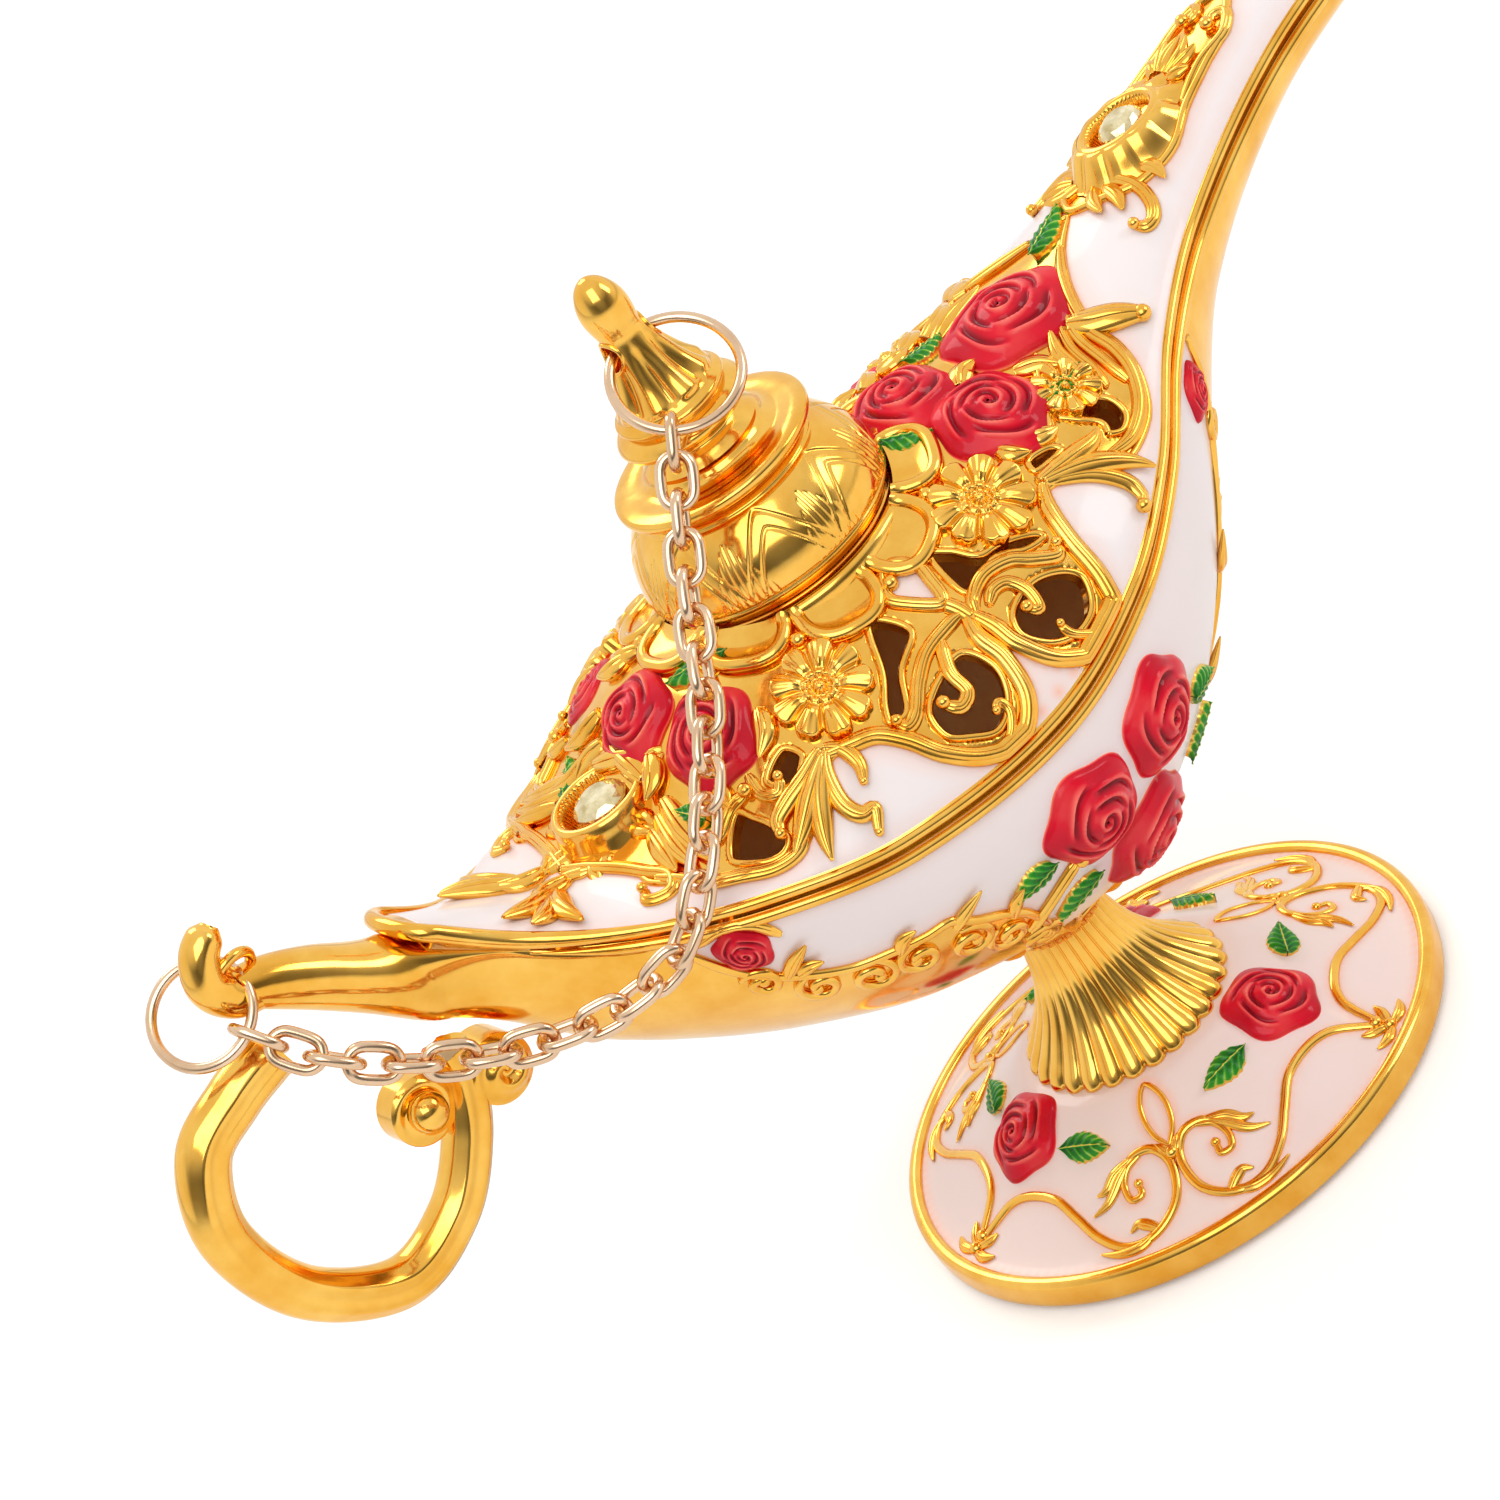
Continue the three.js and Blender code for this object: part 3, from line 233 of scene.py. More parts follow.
def tube(shape, path, radius, sides=10, closed=False, flat=1.0, up=None):
    """A bar along a path of points; flat squeezes it along up."""
    path = np.asarray(path, float)
    n = len(path)
    radius = np.broadcast_to(np.asarray(radius, float), (n,))
    if closed:
        along = np.roll(path, -1, 0) - np.roll(path, 1, 0)
    else:
        along = np.gradient(path, axis=0)
    along /= np.linalg.norm(along, axis=1, keepdims=True) + 1e-12
    if up is None:
        normal = np.zeros_like(path)
        seed = np.eye(3)[np.argmin(np.abs(along[0]))]
        normal[0] = seed - along[0] * seed.dot(along[0])
        for i in range(1, n):
            normal[i] = normal[i - 1] - along[i] * normal[i - 1].dot(along[i])
            normal[i] /= np.linalg.norm(normal[i])
        normal[0] /= np.linalg.norm(normal[0])
    else:
        normal = np.broadcast_to(np.asarray(up, float), path.shape)
        normal = normal - along * (normal * along).sum(1, keepdims=True)
        normal = normal / np.linalg.norm(normal, axis=1, keepdims=True)
    side = np.cross(along, normal)
    turn = turns(sides)
    ring = (
        np.cos(turn)[None, :, None] * side[:, None]
        + flat * np.sin(turn)[None, :, None] * normal[:, None]
    )
    points = path[:, None] + ring * radius[:, None, None]
    faces = grid_faces(n, sides, closed, True)
    if not closed:
        faces += [tuple(range(sides)), tuple(range((n - 1) * sides, n * sides))[::-1]]
    shape.add(points, flipped(faces))


def tapered(count, thick, thin_start=0.25, thin_end=0.25, rise=0.12):
    """Radii of a bar that thins at both ends."""
    t = np.linspace(0, 1, count)
    ease = np.minimum(np.clip(t / rise, 0, 1) * (1 - thin_start) + thin_start,
                      np.clip((1 - t) / rise, 0, 1) * (1 - thin_end) + thin_end)
    return thick * np.sqrt(ease)


def ball(shape, centre, radius, segments=16):
    turn = turns(segments)
    tilt = np.linspace(0.02, math.pi - 0.02, segments // 2 + 1)[:, None]
    points = np.stack(np.broadcast_arrays(
        np.sin(tilt) * np.cos(turn), np.sin(tilt) * np.sin(turn), np.cos(tilt)), -1)
    faces = ring_faces(len(tilt), segments)
    last = len(tilt) * segments
    faces += [tuple(range(segments))[::-1], tuple(range(last - segments, last))]
    shape.add(np.asarray(centre) + radius * points, flipped(faces))


def lathe(shape, profile, segments=96, slot=0, ripple=None):
    """A turned form; ripple changes the radius by angle and height share."""
    profile = np.asarray(profile, float)
    turn = turns(segments)
    radius = np.repeat(profile[:, :1], segments, 1)
    if ripple is not None:
        radius = radius * ripple(turn[None, :], profile[:, 1:2])
    points = np.stack(np.broadcast_arrays(
        radius * np.cos(turn), radius * np.sin(turn), profile[:, 1:2]), -1)
    shape.add(points, ring_faces(len(profile), segments), slot)


# Materials
def new_material(name, settings):
    mat = bpy.data.materials.new(name)
    mat.use_nodes = True
    shader = mat.node_tree.nodes["Principled BSDF"]
    for key, value in settings.items():
        shader.inputs[key].default_value = value
    return mat, mat.node_tree, shader


def node(tree, kind, **values):
    item = tree.nodes.new(kind)
    for key, value in values.items():
        if key in item.inputs:
            item.inputs[key].default_value = value
        else:
            setattr(item, key, value)
    return item


def noise(tree, scale, detail=4.0):
    where = tree.nodes.new("ShaderNodeTexCoord")
    item = node(tree, "ShaderNodeTexNoise", Scale=scale, Detail=detail, Roughness=0.6)
    tree.links.new(where.outputs["Object"], item.inputs["Vector"])
    return item.outputs["Fac"]


def ramp(tree, source, stops):
    item = tree.nodes.new("ShaderNodeValToRGB")
    while len(item.color_ramp.elements) < len(stops):
        item.color_ramp.elements.new(0.5)
    for element, (place, colour) in zip(item.color_ramp.elements, stops):
        element.position = place
        element.color = (*colour, 1)
    tree.links.new(source, item.inputs["Fac"])
    return item.outputs["Color"]


def spread(tree, source, low, high):
    item = node(tree, "ShaderNodeMapRange")
    item.inputs["To Min"].default_value = low
    item.inputs["To Max"].default_value = high
    tree.links.new(source, item.inputs["Value"])
    return item.outputs["Result"]


def bump(tree, shader, source, strength, depth):
    item = node(tree, "ShaderNodeBump", Strength=strength, Distance=depth)
    tree.links.new(source, item.inputs["Height"])
    tree.links.new(item.outputs["Normal"], shader.inputs["Normal"])


def tone_of(tree):
    return node(tree, "ShaderNodeAttribute", attribute_name="tone").outputs["Fac"]


def metal(name, dark, bright, low, high):
    mat, tree, shader = new_material(name, {"Metallic": 1.0})
    tree.links.new(ramp(tree, noise(tree, 260), [(0.3, dark), (0.7, bright)]), shader.inputs["Base Color"])
    tree.links.new(spread(tree, noise(tree, 700), low, high), shader.inputs["Roughness"])
    bump(tree, shader, noise(tree, 420, 2.0), 0.08, 0.0002)
    return mat


def lining(name, dark, bright):
    """Unpolished gold inside the lamp, seen through the pierced cover."""
    mat, tree, shader = new_material(name, {"Roughness": 0.5, "Metallic": 0.3})
    tree.links.new(ramp(tree, noise(tree, 240), [(0.3, dark), (0.7, bright)]), shader.inputs["Base Color"])
    bump(tree, shader, noise(tree, 900, 3.0), 0.2, 0.0003)
    return mat


def enamel(name, stops, gloss, shine, metal_from=None, grain_share=0.06):
    """Glossy enamel coloured by tone; above metal_from the tone shows bare gold."""
    mat, tree, shader = new_material(name, {"Roughness": 0.3, "Coat Weight": gloss, "Coat Roughness": 0.04,
                                            "Specular IOR Level": shine})
    grain = node(tree, "ShaderNodeMath", operation="MULTIPLY_ADD")
    tree.links.new(noise(tree, 1500), grain.inputs[0])
    grain.inputs[1].default_value = grain_share
    tree.links.new(tone_of(tree), grain.inputs[2])
    tree.links.new(ramp(tree, grain.outputs[0], stops), shader.inputs["Base Color"])
    if metal_from is not None:
        step = node(tree, "ShaderNodeMapRange")
        step.inputs["From Min"].default_value = metal_from
        step.inputs["From Max"].default_value = metal_from + 0.06
        tree.links.new(grain.outputs[0], step.inputs["Value"])
        tree.links.new(step.outputs["Result"], shader.inputs["Metallic"])
    bump(tree, shader, noise(tree, 300, 3.0), 0.12, 0.0003)
    return mat


def crystal(name, dark, bright):
    """A clear stone with a foil back."""
    mat, tree, shader = new_material(name, {"Roughness": 0.03, "Metallic": 0.75, "Coat Weight": 1.0})
    colour = ramp(tree, noise(tree, 900), [(0.35, dark), (0.65, bright)])
    tree.links.new(colour, shader.inputs["Base Color"])
    return mat


GOLD = metal("gold_plating", (0.84, 0.41, 0.05), (0.95, 0.57, 0.12), 0.08, 0.18)
ROSE_GOLD = metal("rose_gold_wire", (0.7, 0.46, 0.28), (0.84, 0.6, 0.4), 0.12, 0.24)
STEEL = metal("screw_steel", (0.42, 0.43, 0.45), (0.58, 0.59, 0.61), 0.25, 0.4)
LINING = lining("gold_lining", (1.0, 0.7, 0.3), (1.0, 0.78, 0.38))
PEARL = enamel("pearl_enamel", [
    (0.0, (0.88, 0.38, 0.25)), (0.1, (0.9, 0.56, 0.46)), (0.32, (0.86, 0.69, 0.65)),
    (0.9, (0.84, 0.76, 0.75)),
], 0.3, 0.25, grain_share=0.08)
# Rose enamel: the dark stop at 0 is painted shade for the petal grooves, and the pale red stop at 0.84 is a
# painted highlight for the petal lips.
RED = enamel("rose_enamel", [
    (0.0, (0.12, 0.001, 0.006)), (0.3, (0.34, 0.003, 0.014)), (0.56, (0.7, 0.008, 0.026)),
    (0.84, (0.95, 0.16, 0.13)), (0.96, (0.88, 0.5, 0.1)),
], 0.26, 0.06, 0.91)
GREEN = enamel("leaf_enamel", [
    (0.0, (0.0, 0.03, 0.004)), (0.4, (0.003, 0.1, 0.008)), (0.7, (0.03, 0.3, 0.02)),
    (0.86, (0.3, 0.55, 0.06)),
    (0.94, (0.88, 0.54, 0.1)),
], 0.22, 0.12, 0.88)
CRYSTAL = crystal("cut_crystal", (0.55, 0.42, 0.16), (0.93, 0.82, 0.5))


# Ornaments
def softened(field, times):
    """A round heightfield smoothed along its rings and its spokes."""
    for _ in range(times):
        padded = np.concatenate([field[:1], field, field[-1:]])
        field = (padded[:-2] + 2 * field + padded[2:]) / 4
        field = (np.roll(field, 1, 1) + 2 * field + np.roll(field, -1, 1)) / 4
    return field


def rose_lines():
    """Petal edges of a rose of radius 1, with their strength: a curl and crescents round it."""
    turn = np.linspace(0, 2.5 * math.pi, 70)
    reach = 0.05 + 0.03 * turn
    rows = [np.stack([reach * np.cos(turn), reach * np.sin(turn), 0.5 + 0.5 * np.sin(turn / 2.5)], -1)]
    for count, radius, half, skew, start in [(3, 0.44, 62, 0.1, 0.6), (4, 0.68, 44, 0.12, 0.2)]:
        for k in range(count):
            share = np.linspace(-1, 1, 30)
            angle = start + TAU * k / count + math.radians(half) * share
            away = radius * (1 + skew * share)
            rows.append(np.stack([away * np.cos(angle), away * np.sin(angle), 1 - share**4], -1))
    return np.concatenate(rows)


def rose(shape, place, radius, slot=0, spin=0.0, stretch=1.0, sunk=0.35, rise=0.38):
    """A smooth dome with petal edges as thin raised lips, each with a sunken groove on its inner side; the
    lips carry a painted highlight and the grooves painted shade.
    """
    rings, count = 46, 120
    r = np.linspace(0.02, 1, rings)[:, None] * np.ones((1, count))
    a = turns(count)
    x, y = r * np.cos(a - spin), r * np.sin(a - spin)
    px, py, strength = rose_lines().T
    inward = 1 - 0.07 / np.hypot(px, py)
    lip = (strength * np.exp(-((x[..., None] - px) ** 2 + (y[..., None] - py) ** 2) / 0.036**2)).max(-1)
    groove = (strength * np.exp(
        -((x[..., None] - px * inward) ** 2 + (y[..., None] - py * inward) ** 2) / 0.05**2)).max(-1)
    height = rise * (1 - r**2) ** 0.75 + 0.045 * lip - 0.06 * groove * (1 - lip)
    # Painted highlight: the petal lips are lightened. Painted shade: the grooves are darkened. Past r 0.94 the
    # tone is the gold edge.
    tone = np.clip(0.5 + 0.08 * np.cos(3 * a) + 0.3 * lip - 0.4 * groove * (1 - lip), 0.05, 0.86)
    fall = np.clip((r - 0.9) / 0.1, 0, 1)
    tone = np.where(r > 0.94, 0.98, tone)
    outline = 1 + 0.07 * np.cos(5 * (a - spin)) * r**2
    spread_out = r * outline * radius
    lift = height * (1 - fall**2) * radius - sunk * fall
    points = place(stretch * spread_out * np.cos(a), spread_out * np.sin(a), lift)
    shape.add(points, ring_faces(rings, count), slot, tone)


def leaf(shape, place, length, width, slot=0):
    """A pointed leaf with a notched gold edge, a gold midrib and fine side veins."""
    rows, columns = 44, 25
    u = np.linspace(0, 1, rows)[:, None]
    v = np.linspace(-1, 1, columns)[None, :]
    notch = 0.12 * np.abs(np.sin(7 * math.pi * u))
    half = width * np.sin(math.pi * u**0.75) ** 0.85 * (1 - notch) + 0.04
    a = (u - 0.5) * length + 0.1 * length * np.abs(v) * (1 - u)
    b = v * half
    veins = np.abs(np.cos(math.pi * (6 * u - 1.1 * np.abs(v)))) ** 10
    rib = np.exp(-((v / 0.09) ** 2))
    edge = np.clip((np.abs(v) - 0.78) / 0.22, 0, 1)
    height = 0.62 * (1 - v**2) ** 0.6 - 0.16 * np.exp(-((v / 0.25) ** 2))
    height = height + 0.16 * rib + 0.1 * veins - 0.4 * edge**3
    tone = 0.25 + 0.3 * np.abs(v) + 0.2 * u + 0.3 * veins * (1 - edge)
    tone = np.maximum(tone, np.where(edge > 0.35, 1.0, rib))
    shape.add(place(a, b, height), flipped(grid_faces(rows, columns)), slot, tone)


def daisy(shape, place, radius, petals=9):
    """A flower of notched petals with creases, round a ringed eye."""
    rings, count = 36, 216
    r = np.linspace(0.01, 1, rings)[:, None] * np.ones((1, count))
    a = turns(count)
    petal = np.abs(np.cos(petals * a / 2)) ** 0.55
    outline = radius * (0.8 + 0.2 * petal - 0.03 * np.cos(petals * a) ** 8)
    crease = 0.05 * np.cos(petals * 3 * a) * petal * np.clip((r - 0.35) / 0.2, 0, 1)
    height = 0.35 + 0.6 * petal * np.clip((r - 0.2) / 0.3, 0, 1) ** 0.7 + crease - 0.6 * (r - 0.6) ** 2
    button = np.clip(1 - (r / 0.15) ** 2, 0, 1) ** 0.5 * 0.6 + 0.35
    ringed = np.exp(-(((r - 0.28) / 0.06) ** 2)) * 0.5 + 0.35
    height = np.where(r < 0.35, np.maximum(button * (r < 0.16), ringed), height)
    height = softened(height, 2)
    fall = np.clip((r - 0.93) / 0.07, 0, 1)
    reach = r * outline
    points = place(reach * np.cos(a), reach * np.sin(a), height * (1 - fall) - 0.5 * fall)
    shape.add(points, ring_faces(rings, count))


def band(shape, surface, points, half_width, count=70, lift=0.12, tips=(0.35, 0.35), knob=0.0, closed=False):
    """A fluted ribbon laid on a surface along plan points: a low bar with a fine wire along its middle."""
    path = spline(points, count, closed)
    base = surface(*path.T, lift)
    out = surface(*path.T, lift + 1) - base
    radius = np.full(count, half_width) if closed else tapered(count, half_width, *tips)
    tube(shape, base, radius, 12, closed, up=out, flat=0.62)
    crest = base + out * (0.36 * radius)[:, None]
    tube(shape, crest, 0.5 * radius, 10, closed, up=out)
    if knob:
        ball(shape, base[-1] + 0.3 * out[-1], knob)


def lobe(shape, surface, points, half_width, lift=0.15, rise=0.35, knob=0.0):
    """A pointed leaf blade along plan points, broadest in the middle."""
    path = spline(points, 34)
    t = np.linspace(0, 1, 34)
    base = surface(*path.T, lift + rise * t**2)
    out = surface(*path.T, lift + 1 + rise * t**2) - base
    slim = np.full(34, 0.85) if knob else np.sqrt(1.02 - t**3)
    radius = 1.2 * half_width * (0.35 + 0.75 * np.sin(math.pi * (0.06 + 0.84 * t) ** 0.8)) * slim + 0.04
    tube(shape, base, radius, 12, up=out, flat=0.6)
    tube(shape, base + out * (0.42 * radius)[:, None], 0.36 * radius, 8, up=out)
    if knob:
        ball(shape, base[-1], knob)


def inside(outline, x, y):
    """True where (x, y) lies inside the closed outline."""
    hit = np.zeros(np.shape(x), bool)
    for (x0, y0), (x1, y1) in zip(outline, np.roll(outline, -1, 0)):
        crosses = (y0 > y) != (y1 > y)
        with np.errstate(divide="ignore", invalid="ignore"):
            hit ^= crosses & (x < (x1 - x0) * (y - y0) / (y1 - y0) + x0)
    return hit


def solidify(obj):
    shell = obj.modifiers.new("wall", "SOLIDIFY")
    shell.thickness = WALL * MM
    shell.offset = -1
    shell.material_offset = 3
    shell.material_offset_rim = 1


def nearest(points, lines):
    """Distance from each point to the nearest of many line points, by blocks."""
    best = np.full(len(points), 1e9)
    for k in range(0, len(points), 4000):
        gap = points[k:k + 4000, None] - lines[None]
        best[k:k + 4000] = np.sqrt((gap**2).sum(-1)).min(1)
    return best


# Cover: plan places of the near side, repeated on the far side.
WINDOWS = [
    [(-3.3, -15.5), (-0.9, -15.4), (-0.1, -16.9), (-1.1, -18.1), (-3.1, -18.6), (-4.7, -18.1),
     (-5.8, -17.3), (-5.3, -16.1)],
    [(3.2, -15.8), (2.3, -16.8), (3.2, -17.8), (5, -18.1), (7, -17.7), (8.2, -16.7), (7.6, -15.9),
     (5.6, -15.4)],
    [(-3.3, -11.2), (-2.3, -11.1), (-1.6, -13.2), (-4.1, -14.2), (-6, -15.6), (-7.4, -15.3), (-6.8, -14.5),
     (-5.1, -13.3)],
    [(2.9, -10.9), (4.1, -11.7), (4.9, -12.9), (6.4, -13.2), (8.4, -14.0), (8.5, -14.6), (7, -14.5),
     (5.3, -13.8),
     (3.3, -14.1), (2.1, -13.7)],
    [(-16.8, -10.5), (-16.5, -11.7), (-16.3, -12.8), (-16.4, -14.1), (-17.5, -14.3), (-18.7, -13.5),
     (-19.6, -11.8),
     (-18.2, -10.7)],
    [(-12.4, -11.4), (-12, -12.8), (-14, -13.1), (-14.6, -11.5)],
    [(12, -11), (13.8, -11.1), (14.2, -11.8), (12.8, -12), (11.6, -11.9)],
    [(15.8, -10.1), (17.7, -10.1), (19.1, -10.9), (19.1, -12.1), (17.9, -12.7), (16.9, -12.4),
     (17.2, -11.8), (16.4, -11)],
]
# Inner edge of the enamel: tail to scrolls, between the two scrolls, and scrolls to spout.
TAIL_EDGE = [
    (-24.6, 0), (-23.9, -2.2), (-23.2, -4.4), (-22.8, -6.2), (-23, -7.8), (-22.3, -9.6), (-21.8, -11.3),
    (-20.3, -12.7),
    (-18.9, -14.1), (-17.1, -14.9), (-15, -14.8), (-13, -14.2), (-11, -14), (-9.6, -14.6), (-8.2, -15.5),
    (-7.2, -17),
    (-5.6, -18.5), (-4, -19.1),
]
GORE = [(1.1, -15.4), (0.9, -17), (0.1, -18.3), (-1.6, -19.2), (4.2, -19.2), (2.3, -18.2), (1.4, -17)]
SPOUT_EDGE = [
    (6, -18.9), (8.2, -18), (9.3, -16.2), (9.7, -14.8), (10.6, -13.1), (12, -12.9), (14, -13.3),
    (16, -13.7), (18, -13.3),
    (20.2, -12.4), (21.8, -11), (22.5, -9.4), (22.6, -7.7), (23.7, -5.5), (25.3, -3.3), (27, -1.6),
    (29.4, 0),
]
ALMOND = [(0.9, -13.4), (-0.6, -11.8), (-0.8, -10.9), (0.2, -9.9), (1.2, -9.9), (1.9, -11), (1.7, -12)]
GEM_PATCH = [(29.6, 0), (31.2, -2.2), (33, -3.7), (36, -4.1), (39, -3.2), (42, -2.7), (45, -2.2), (47.6, 0)]
# Ribbons: plan points, half width and end knob.
BANDS = [
    ([(1.1, -14.6), (0.5, -15.7), (0.5, -17), (-0.4, -18.4), (-2.5, -19), (-5, -18.6), (-6.6, -17.6),
      (-7.4, -16.3),
      (-8.4, -15.1), (-9.8, -14.4), (-11.2, -13.7)], 0.62, 0),
    ([(1.1, -14.4), (-0.3, -14.3), (-2.3, -14.4), (-4.1, -15), (-5.8, -15.8), (-6.8, -15.9),
      (-7, -15.4)], 0.5, 0.4),
    ([(-1.2, -14.6), (-1.9, -15.2), (-2.5, -15.9), (-2.7, -16.8), (-3.7, -17), (-4.3, -16.4)], 0.5, 0.45),
    ([(-3.8, -18.9), (-2.6, -18.7), (-1.8, -18.3), (-1.9, -17.9), (-2.5, -18)], 0.34, 0.3),
    ([(1.4, -14.7), (1.7, -15.8), (1.8, -17), (2.8, -18.2), (5, -18.6), (7.4, -18.3), (8.8, -17),
      (9.4, -15.2), (10.2, -13.6),
      (11.2, -12.6)], 0.62, 0),
    ([(1.6, -14.9), (2.3, -14.3), (3.9, -13.9), (5.7, -14.2), (6.8, -14.9), (8, -15.4),
      (8.5, -15)], 0.5, 0.35),
    ([(2.6, -15), (3.5, -14.7), (4.5, -14.9), (4.9, -15.7), (4.5, -16.5), (3.9, -16.2)], 0.46, 0.42),
    ([(7.2, -18.2), (5.8, -18.2), (4.7, -17.9), (4.5, -17.4)], 0.34, 0.3),
    ([(0.9, -13.5), (1.15, -14.2), (1.25, -15)], 0.55, 0),
    ([(15.6, -13.2), (17.8, -13), (20, -12.1), (21.5, -10.8), (22.1, -9.4), (22.2, -7.6), (23.3, -5.5),
      (24.9, -3.4),
      (26.8, -1.6)], 0.5, 0),
    ([(20.8, -11), (21, -9.4), (21.4, -7.4), (22.8, -5)], 0.4, 0),
    ([(19.6, -10.6), (20.1, -9.3), (20.5, -7.6), (21.9, -5.4)], 0.36, 0),
    ([(31.6, -0.2), (32.5, -1.6), (32.7, -3.4), (32.3, -4.8), (31.5, -5.7), (30.6, -5.9),
      (30.1, -5.3)], 0.5, 0.4),
    ([(-24.4, 0), (-23.6, -2.4), (-22.9, -5), (-22.5, -7), (-22.1, -8.8), (-23, -9.7), (-24.2, -9),
      (-23.8, -8)], 0.5, 0.35),
    ([(-22.6, -8), (-21.9, -10), (-21.3, -11.6), (-19.9, -13), (-18.5, -14.2), (-16.8, -14.8),
      (-15.2, -14.5)], 0.5, 0),
    ([(-23.9, -2.4), (-25.1, -1.2), (-26.6, -1.6)], 0.5, 0),
    ([(-14.8, -10.4), (-15.3, -11.6), (-14.7, -12.5), (-13.9, -12.2)], 0.42, 0.35),
    ([(-20.4, -6), (-19.4, -8.6), (-18.8, -10.2), (-17, -10.2), (-15.6, -10.8)], 0.5, 0.5),
    ([(18.8, -6.4), (17, -8.2), (15.6, -9.6), (14.4, -10.6), (12, -10.6)], 0.45, 0),
]
# Leaf blades: plan points, half width and end knob.
LOBES = [
    ([(-11, -13.5), (-12.2, -14.3), (-13, -15.5), (-12.8, -16.4), (-12, -16.7), (-12.9, -17.2)], 0.5, 0.3),
    ([(-11.4, -13.6), (-13.4, -14.4), (-15, -15.4), (-16, -16.2)], 0.6, 0),
    ([(-11.4, -13.6), (-13.8, -14.1), (-15.6, -14.5), (-17.1, -14.8)], 0.6, 0),
    ([(-11.2, -13.3), (-13, -13.4), (-14.8, -13.2), (-16, -13.2), (-16.6, -13.7)], 0.55, 0.4),
    ([(-11, -13.4), (-10.4, -14.2), (-10.5, -15.2), (-11.2, -15.8)], 0.45, 0.3),
    ([(11.2, -12.4), (13.6, -12.4), (15.6, -12.3), (16.6, -12)], 0.55, 0),
    ([(11.4, -12.5), (14, -13), (16, -13.7), (17.2, -14.3)], 0.6, 0),
    ([(11.6, -12.7), (13.8, -13.5), (15, -14.4), (15, -15), (14.4, -15.4)], 0.5, 0.5),
    ([(21.8, -6.4), (22.8, -7.5), (24, -8.4), (25, -9.2)], 0.95, 0.6),
    ([(-25, -1.4), (-26.8, -1.5), (-28.2, -2.6)], 0.7, 0),
    ([(-26.6, -1.8), (-28.6, -3), (-30.8, -3.8)], 0.75, 0),
    ([(-26.4, -2.2), (-27.6, -4.4), (-27.9, -7.2)], 0.75, 0),
    ([(-27.2, -2.8), (-28.6, -4.6), (-30, -5.4)], 0.65, 0),
    ([(19.2, -10.2), (19.2, -9), (19.6, -7.4), (20.8, -5.8)], 0.5, 0),
    ([(17, -6.2), (18.2, -7), (19, -8.2)], 0.6, 0),
    ([(13.2, -10), (14, -10.6), (15, -10.8)], 0.6, 0),
    ([(11.4, -9.6), (11.8, -10.4), (12.4, -11)], 0.6, 0),
    ([(9.6, -4.2), (10.8, -4.3), (12, -3.9)], 0.6, 0),
    ([(14.2, -4.4), (15.2, -3.6), (16.4, -3.6)], 0.7, 0),
    ([(-18.2, -5.2), (-19.4, -7.9), (-20.2, -11)], 0.65, 0),
    ([(-19.2, -5.3), (-20.4, -7.9), (-21, -10.3)], 0.6, 0),
    ([(-20.2, -5.4), (-21, -7.3), (-21.8, -9.3)], 0.6, 0),
    ([(-16, -8.6), (-16.6, -9.6), (-16.9, -10.4)], 0.5, 0),
    ([(-17.5, 2.9), (-16.8, 0.4), (-16.1, -2.2)], 0.7, 0),
    ([(-16.2, -2.7), (-17.3, -3.7), (-18.6, -4)], 0.7, 0),
    ([(-11.2, -9.2), (-12.2, -10.3), (-13.6, -10.8)], 0.6, 0),
    ([(-10.4, -3.2), (-11, -4.4), (-11.2, -5.8)], 0.6, 0),
]
# Leaf blades of the far side alone, where the near side has roses.
FAR_LOBES = [
    [(17.6, 3.6), (20, 4.6), (21.8, 6.4)], [(16, 4.4), (17.8, 5.4), (19, 7.2)],
    [(12, 3.2), (13.2, 4.4), (14, 6)],
    [(17.2, 1.6), (19.8, 2.6), (22.6, 2.6)], [(-11, 4), (-12, 5), (-12.6, 6.2)],
    [(-14.6, 4.4), (-16, 5.6), (-16.8, 7.2)],
    [(-16.6, 3.6), (-18.4, 5), (-19.4, 6.8)],
]
DAISIES = [(-8.1, -11.5, 3.5), (7.8, -11.1, 3.5), (17.7, -9.3, 2.3)]
# Roses: place, radius and stretch along x. Leaves: place, length, half width and turn.
COVER_ROSES = [
    (20.4, -2.4, 4.3, 1.15), (13.4, -7.5, 4.0, 1.0), (11.5, -1.6, 3.9, 1.0),
    (-14.6, 0.0, 3.5, 1.0), (-14.0, -7.0, 3.7, 1.0), (15.4, 9.3, 2.7, 1.0), (-12.6, 9.3, 2.6, 1.0),
]
COVER_LEAVES = [
    (17.6, -9.1, 4.4, 1.2, 10), (27.6, 0.6, 4.6, 1.2, 15), (9, -4.4, 4, 1.2, -50),
    (16.3, 1.6, 3.2, 1.1, -10),
    (-18.3, -7.9, 2.8, 1.1, 100), (-10.6, -3.7, 4.6, 1.3, 140), (-18.8, 5.3, 4, 1.1, 30),
    (17.8, 9.4, 3.6, 1.1, 20),
]


def mirrored(points, side):
    """Plan points of the near side, or the same ones on the far side."""
    return np.asarray(points, float) * [1, -side]


TAIL_NOSE, TAIL_SLOPE = 0.4, 1.0


def cover_rim(lift, rise):
    """Path round the cover's edge from the far spout end round the tail to the near spout end."""
    x = np.linspace(SPOUT_REACH - 0.3, -COVER_TAIL, 150)
    beam, rim, _, _ = station(x)
    side = np.stack([x, beam + lift, rim + rise], -1)
    end_beam, end_rim = side[-1, 1], side[-1, 2]
    turn = np.linspace(0, math.pi, 16)[1:-1]
    past = TAIL_NOSE * end_beam * np.sin(turn)
    cap = np.stack([-COVER_TAIL - past, end_beam * np.cos(turn), end_rim + TAIL_SLOPE * past], -1)
    return np.concatenate([side, cap, (side * [1, -1, 1])[::-1]])


